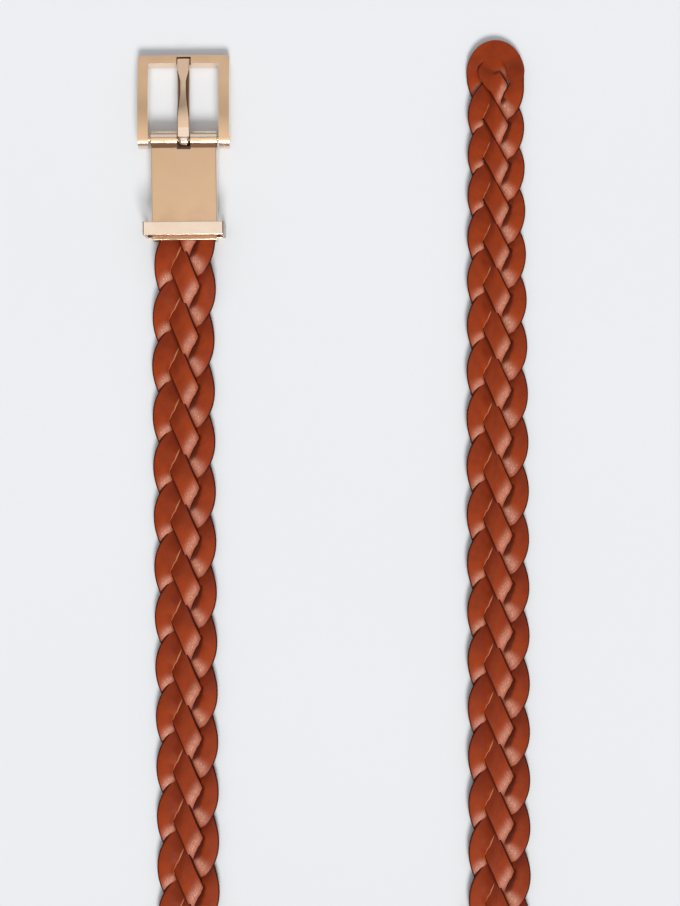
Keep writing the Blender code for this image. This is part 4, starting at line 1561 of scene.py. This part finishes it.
@dataclass
class ClampAndKeeper:
    """The clamp that grips the strap's end, and the loop that slides along it."""

    x: float
    y: float
    z: float
    width: float = 0.0298
    reach: float = 0.0464
    wall: float = 0.0006
    face: float = 0.0009
    bottom: float = 0.0013
    ceiling: float = 0.0080
    top: float = 0.0089
    barrel: float = 0.0037
    slot: float = 0.0062
    plate_start: float = 0.0042
    pocket_start: float = 0.0080
    web_drop: float = 0.0020
    rim: float = 0.0006
    pin: float = 0.00135
    screw_spread: float = 0.0090
    screw_reach: float = 0.0140
    boss: float = 0.0022
    screw: float = 0.0011
    keeper_width: float = 0.0364
    keeper_length: float = 0.0062
    keeper_wall: float = 0.0011
    keeper_base: float = 0.0010
    keeper_top: float = 0.0153
    keeper_inset: float = 0.0018

    def build_shell(self) -> bpy.types.Object:
        """The face with its walls, the barrels, what joins them and the rim at the mouth."""
        x, y = self.x, self.y
        half = self.width / 2
        far_corner = (x - half, y - self.reach, self.bottom)
        near_corner = (x + half, y - self.plate_start, self.top)
        shell = Bench.block("clamp_plate", far_corner, near_corner)
        Bench.bevel(shell, 0.00055, 3, 40)
        inner = half - self.wall
        pocket = Bench.block(
            "pocket", (x - inner, y - 2 * self.reach, -PAST), (x + inner, y - self.pocket_start, self.ceiling)
        )
        Bench.combine(shell, pocket, "DIFFERENCE")
        web = half - self.wall / 2
        lug = Bench.block(
            "lug",
            (x - web, y - self.plate_start - self.face, self.z - self.web_drop),
            (x + web, y, self.top - self.face),
        )
        Bench.combine(shell, lug, "UNION")
        barrel = Bench.rod("barrel", self.barrel, x - half - 0.0003, x + half + 0.0003, y, self.z, 72)
        Bench.bevel(barrel, 0.00035, 2, 60)
        Bench.combine(shell, barrel, "UNION")
        lip_y = y - self.reach + self.rim + 0.0001
        lip = Bench.rod("lip", self.rim, x - web, x + web, lip_y, self.top - self.rim / 3, 24)
        Bench.combine(shell, lip, "UNION")
        for side in (-1, 1):
            self.add_boss(shell, x + side * self.screw_spread)
        reach = 2 * self.barrel
        slot = Bench.block(
            "slot",
            (x - self.slot / 2, y - self.plate_start - self.face, -reach),
            (x + self.slot / 2, y + reach, self.z + reach),
        )
        Bench.combine(shell, slot, "DIFFERENCE")
        bore = Bench.rod("clamp_bore", self.pin, x - self.width, x + self.width, y, self.z, 40)
        Bench.combine(shell, bore, "DIFFERENCE")
        Bench.face_out(shell)
        Bench.even(shell, 30)
        return shell

    def add_boss(self, shell: bpy.types.Object, x: float) -> None:
        """Adds a boss with its screw's hole inside the shell."""
        Bench.clear()
        low, high = self.bottom + 0.0011, self.top - self.face / 2
        y = self.y - self.screw_reach
        bpy.ops.mesh.primitive_cylinder_add(
            vertices=32, radius=self.boss, depth=high - low, location=(x, y, (low + high) / 2)
        )
        boss = Bench.named("boss")
        bpy.ops.object.transform_apply(location=True, rotation=True, scale=True)
        Bench.combine(shell, boss, "UNION")
        Bench.clear()
        depth = self.ceiling - 0.0003
        bpy.ops.mesh.primitive_cylinder_add(
            vertices=24, radius=self.screw, depth=2 * depth, location=(x, y, 0)
        )
        hole = Bench.named("screw_hole")
        bpy.ops.object.transform_apply(location=True, rotation=True, scale=True)
        Bench.combine(shell, hole, "DIFFERENCE")

    def build_keeper(self) -> bpy.types.Object:
        """A rectangular loop with a plain band across the front."""
        half = self.keeper_width / 2
        near = self.y - self.reach + self.keeper_inset
        far = near + self.keeper_length
        top = self.keeper_top
        loop = Bench.block("keeper_band", (self.x - half, near, 0.0), (self.x + half, far, top))
        inner = half - self.keeper_wall
        hollow = Bench.block(
            "keeper_hollow",
            (self.x - inner, near - PAST, self.keeper_base),
            (self.x + inner, far + PAST, top - self.keeper_wall),
        )
        Bench.bevel(hollow, 0.0005, 4, 60)
        Bench.combine(loop, hollow, "DIFFERENCE")
        Bench.face_out(loop)
        Bench.bevel(loop, 0.0005, 4, 60)
        Bench.even(loop, 30)
        return loop

    def shell_finish(self, polygon: bpy.types.MeshPolygon, extent: float) -> int:
        """The barrels and bevels are bright, and the barrels' near flank and the groove are in shade."""
        back = self.y - polygon.center.y
        if 0.0021 < back < self.plate_start + 0.0001 and polygon.normal.z > -0.2:
            return 2
        return 0 if back > 0 and polygon.normal.z > 0.95 else 1

    def keeper_finish(self, polygon: bpy.types.MeshPolygon, extent: float) -> int:
        """The band is bright and its ends are in shade."""
        if abs(polygon.center.x - self.x) > self.keeper_width / 2 - 0.0009 and extent < 0.002:
            return 2
        return 1

    def build(self, finishes: Finishes) -> None:
        """Builds both pieces and dresses them and what the clamp holds."""
        shell = self.build_shell()
        finishes.dress(shell, Slot.SATIN)
        finishes.touch_up(shell, self.shell_finish)
        place_piece(shell, Body.ROOT, "clamp_shell")
        keeper = self.build_keeper()
        finishes.dress(keeper, Slot.POLISHED)
        finishes.touch_up(keeper, self.keeper_finish)
        place_piece(keeper, Body.KEEPER, "keeper_loop")
        finishes.dress_carried("clamp_back_plate", Slot.SATIN)
        finishes.dress_carried("clamp_screw_left", Slot.SCREW)
        finishes.dress_carried("clamp_screw_right", Slot.SCREW)
        finishes.dress_carried("hinge_pin", Slot.POLISHED)
        finishes.dress_carried("strap_end_tab", Slot.BACKING)


# The studio


@dataclass
class Studio:
    """The table, the light and the camera."""

    centre: Vector
    camera_distance: float = 0.700
    view_height: float = 0.4168
    pitch: float = math.radians(-1.4)
    roll: float = math.radians(-0.43)
    table_size: float = 40.0

    def add_table(self) -> None:
        """A large pale surface under the belt."""
        Bench.clear()
        bpy.ops.mesh.primitive_plane_add(size=self.table_size, location=(0, 0, 0))
        table = Bench.named("table")
        table.data.materials.append(TablePaper().make())

    def add_lamp(self, name: str, kind: str, place: Point, size: float, power: float, colour: Point) -> None:
        """A soft lamp aimed at the belt.

        Args:
            name: its name.
            kind: SUN or AREA.
            place: where it stands.
            size: a sun's angle in degrees, or an area's side in metres.
            power: a sun's strength, or an area's watts.
            colour: its colour.
        """
        data = bpy.data.lights.new(name, kind)
        if kind == "SUN":
            data.angle = math.radians(size)
        else:
            data.shape = "SQUARE"
            data.size = size
        data.energy = power
        data.color = colour
        lamp = bpy.data.objects.new(name, data)
        bpy.context.scene.collection.objects.link(lamp)
        lamp.location = place
        lamp.rotation_euler = (-Vector(place)).to_track_quat("-Z", "Y").to_euler()

    def add_light(self) -> None:
        """A soft key from the lower right, a weak softbox overhead, and a pale sky."""
        self.add_lamp("key", "SUN", (0.14, -1.0, 0.9), 22.0, 2.75, (1.0, 0.985, 0.96))
        self.add_lamp("behind", "AREA", (0.0, 2.2, 2.1), 2.0, 6.0, (1.0, 0.98, 0.97))
        self.add_lamp("overhead", "AREA", (0.0, -0.11, 2.0), 1.5, 5.0, (1.0, 0.98, 0.94))
        world = bpy.data.worlds.new("sky")
        world.use_nodes = True
        graph = Graph(world.node_tree)
        sky = world.node_tree.nodes["Background"]
        seen = graph.add("ShaderNodeLightPath").outputs["Is Camera Ray"]
        graph.link(graph.spread(seen, 0.0, 1.0, 0.35, 0.84), sky.inputs["Strength"])
        sky.inputs["Color"].default_value = (0.95, 0.97, 1.0, 1.0)
        bpy.context.scene.world = world
        bpy.context.scene.view_settings.view_transform = "Standard"

    def add_camera(self) -> None:
        """A camera above the belt, looking almost straight down."""
        data = bpy.data.cameras.new("camera")
        data.sensor_fit = "VERTICAL"
        data.sensor_height = 36.0
        data.lens = 36.0 * self.camera_distance / self.view_height
        camera = bpy.data.objects.new("camera", data)
        bpy.context.scene.collection.objects.link(camera)
        toward = Vector((0, math.sin(self.pitch), -math.cos(self.pitch)))
        camera.location = self.centre - toward * self.camera_distance
        camera.rotation_euler = (self.pitch, 0, self.roll)
        bpy.context.scene.camera = camera

    def build(self) -> None:
        """Sets up everything that isn't the belt."""
        self.add_table()
        self.add_light()
        self.add_camera()


def hinge_centre() -> Vector:
    """The hinge axis's middle, from the pin's box."""
    low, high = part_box("hinge_pin")
    return (low + high) / 2


def main() -> None:
    """Builds the belt and its studio."""
    logging.basicConfig(level=logging.INFO, format="%(name)s: %(message)s", stream=sys.stdout)
    hinge = hinge_centre()
    Studio(centre=Vector((0.0023, hinge.y - 0.14376, 0.003))).build()
    finishes = Finishes.make()
    Strap(Route(), Plait()).build(finishes)
    Buckle(hinge.x, hinge.y, hinge.z).build(finishes)
    ClampAndKeeper(hinge.x, hinge.y, hinge.z).build(finishes)


if __name__ == "__main__":
    main()
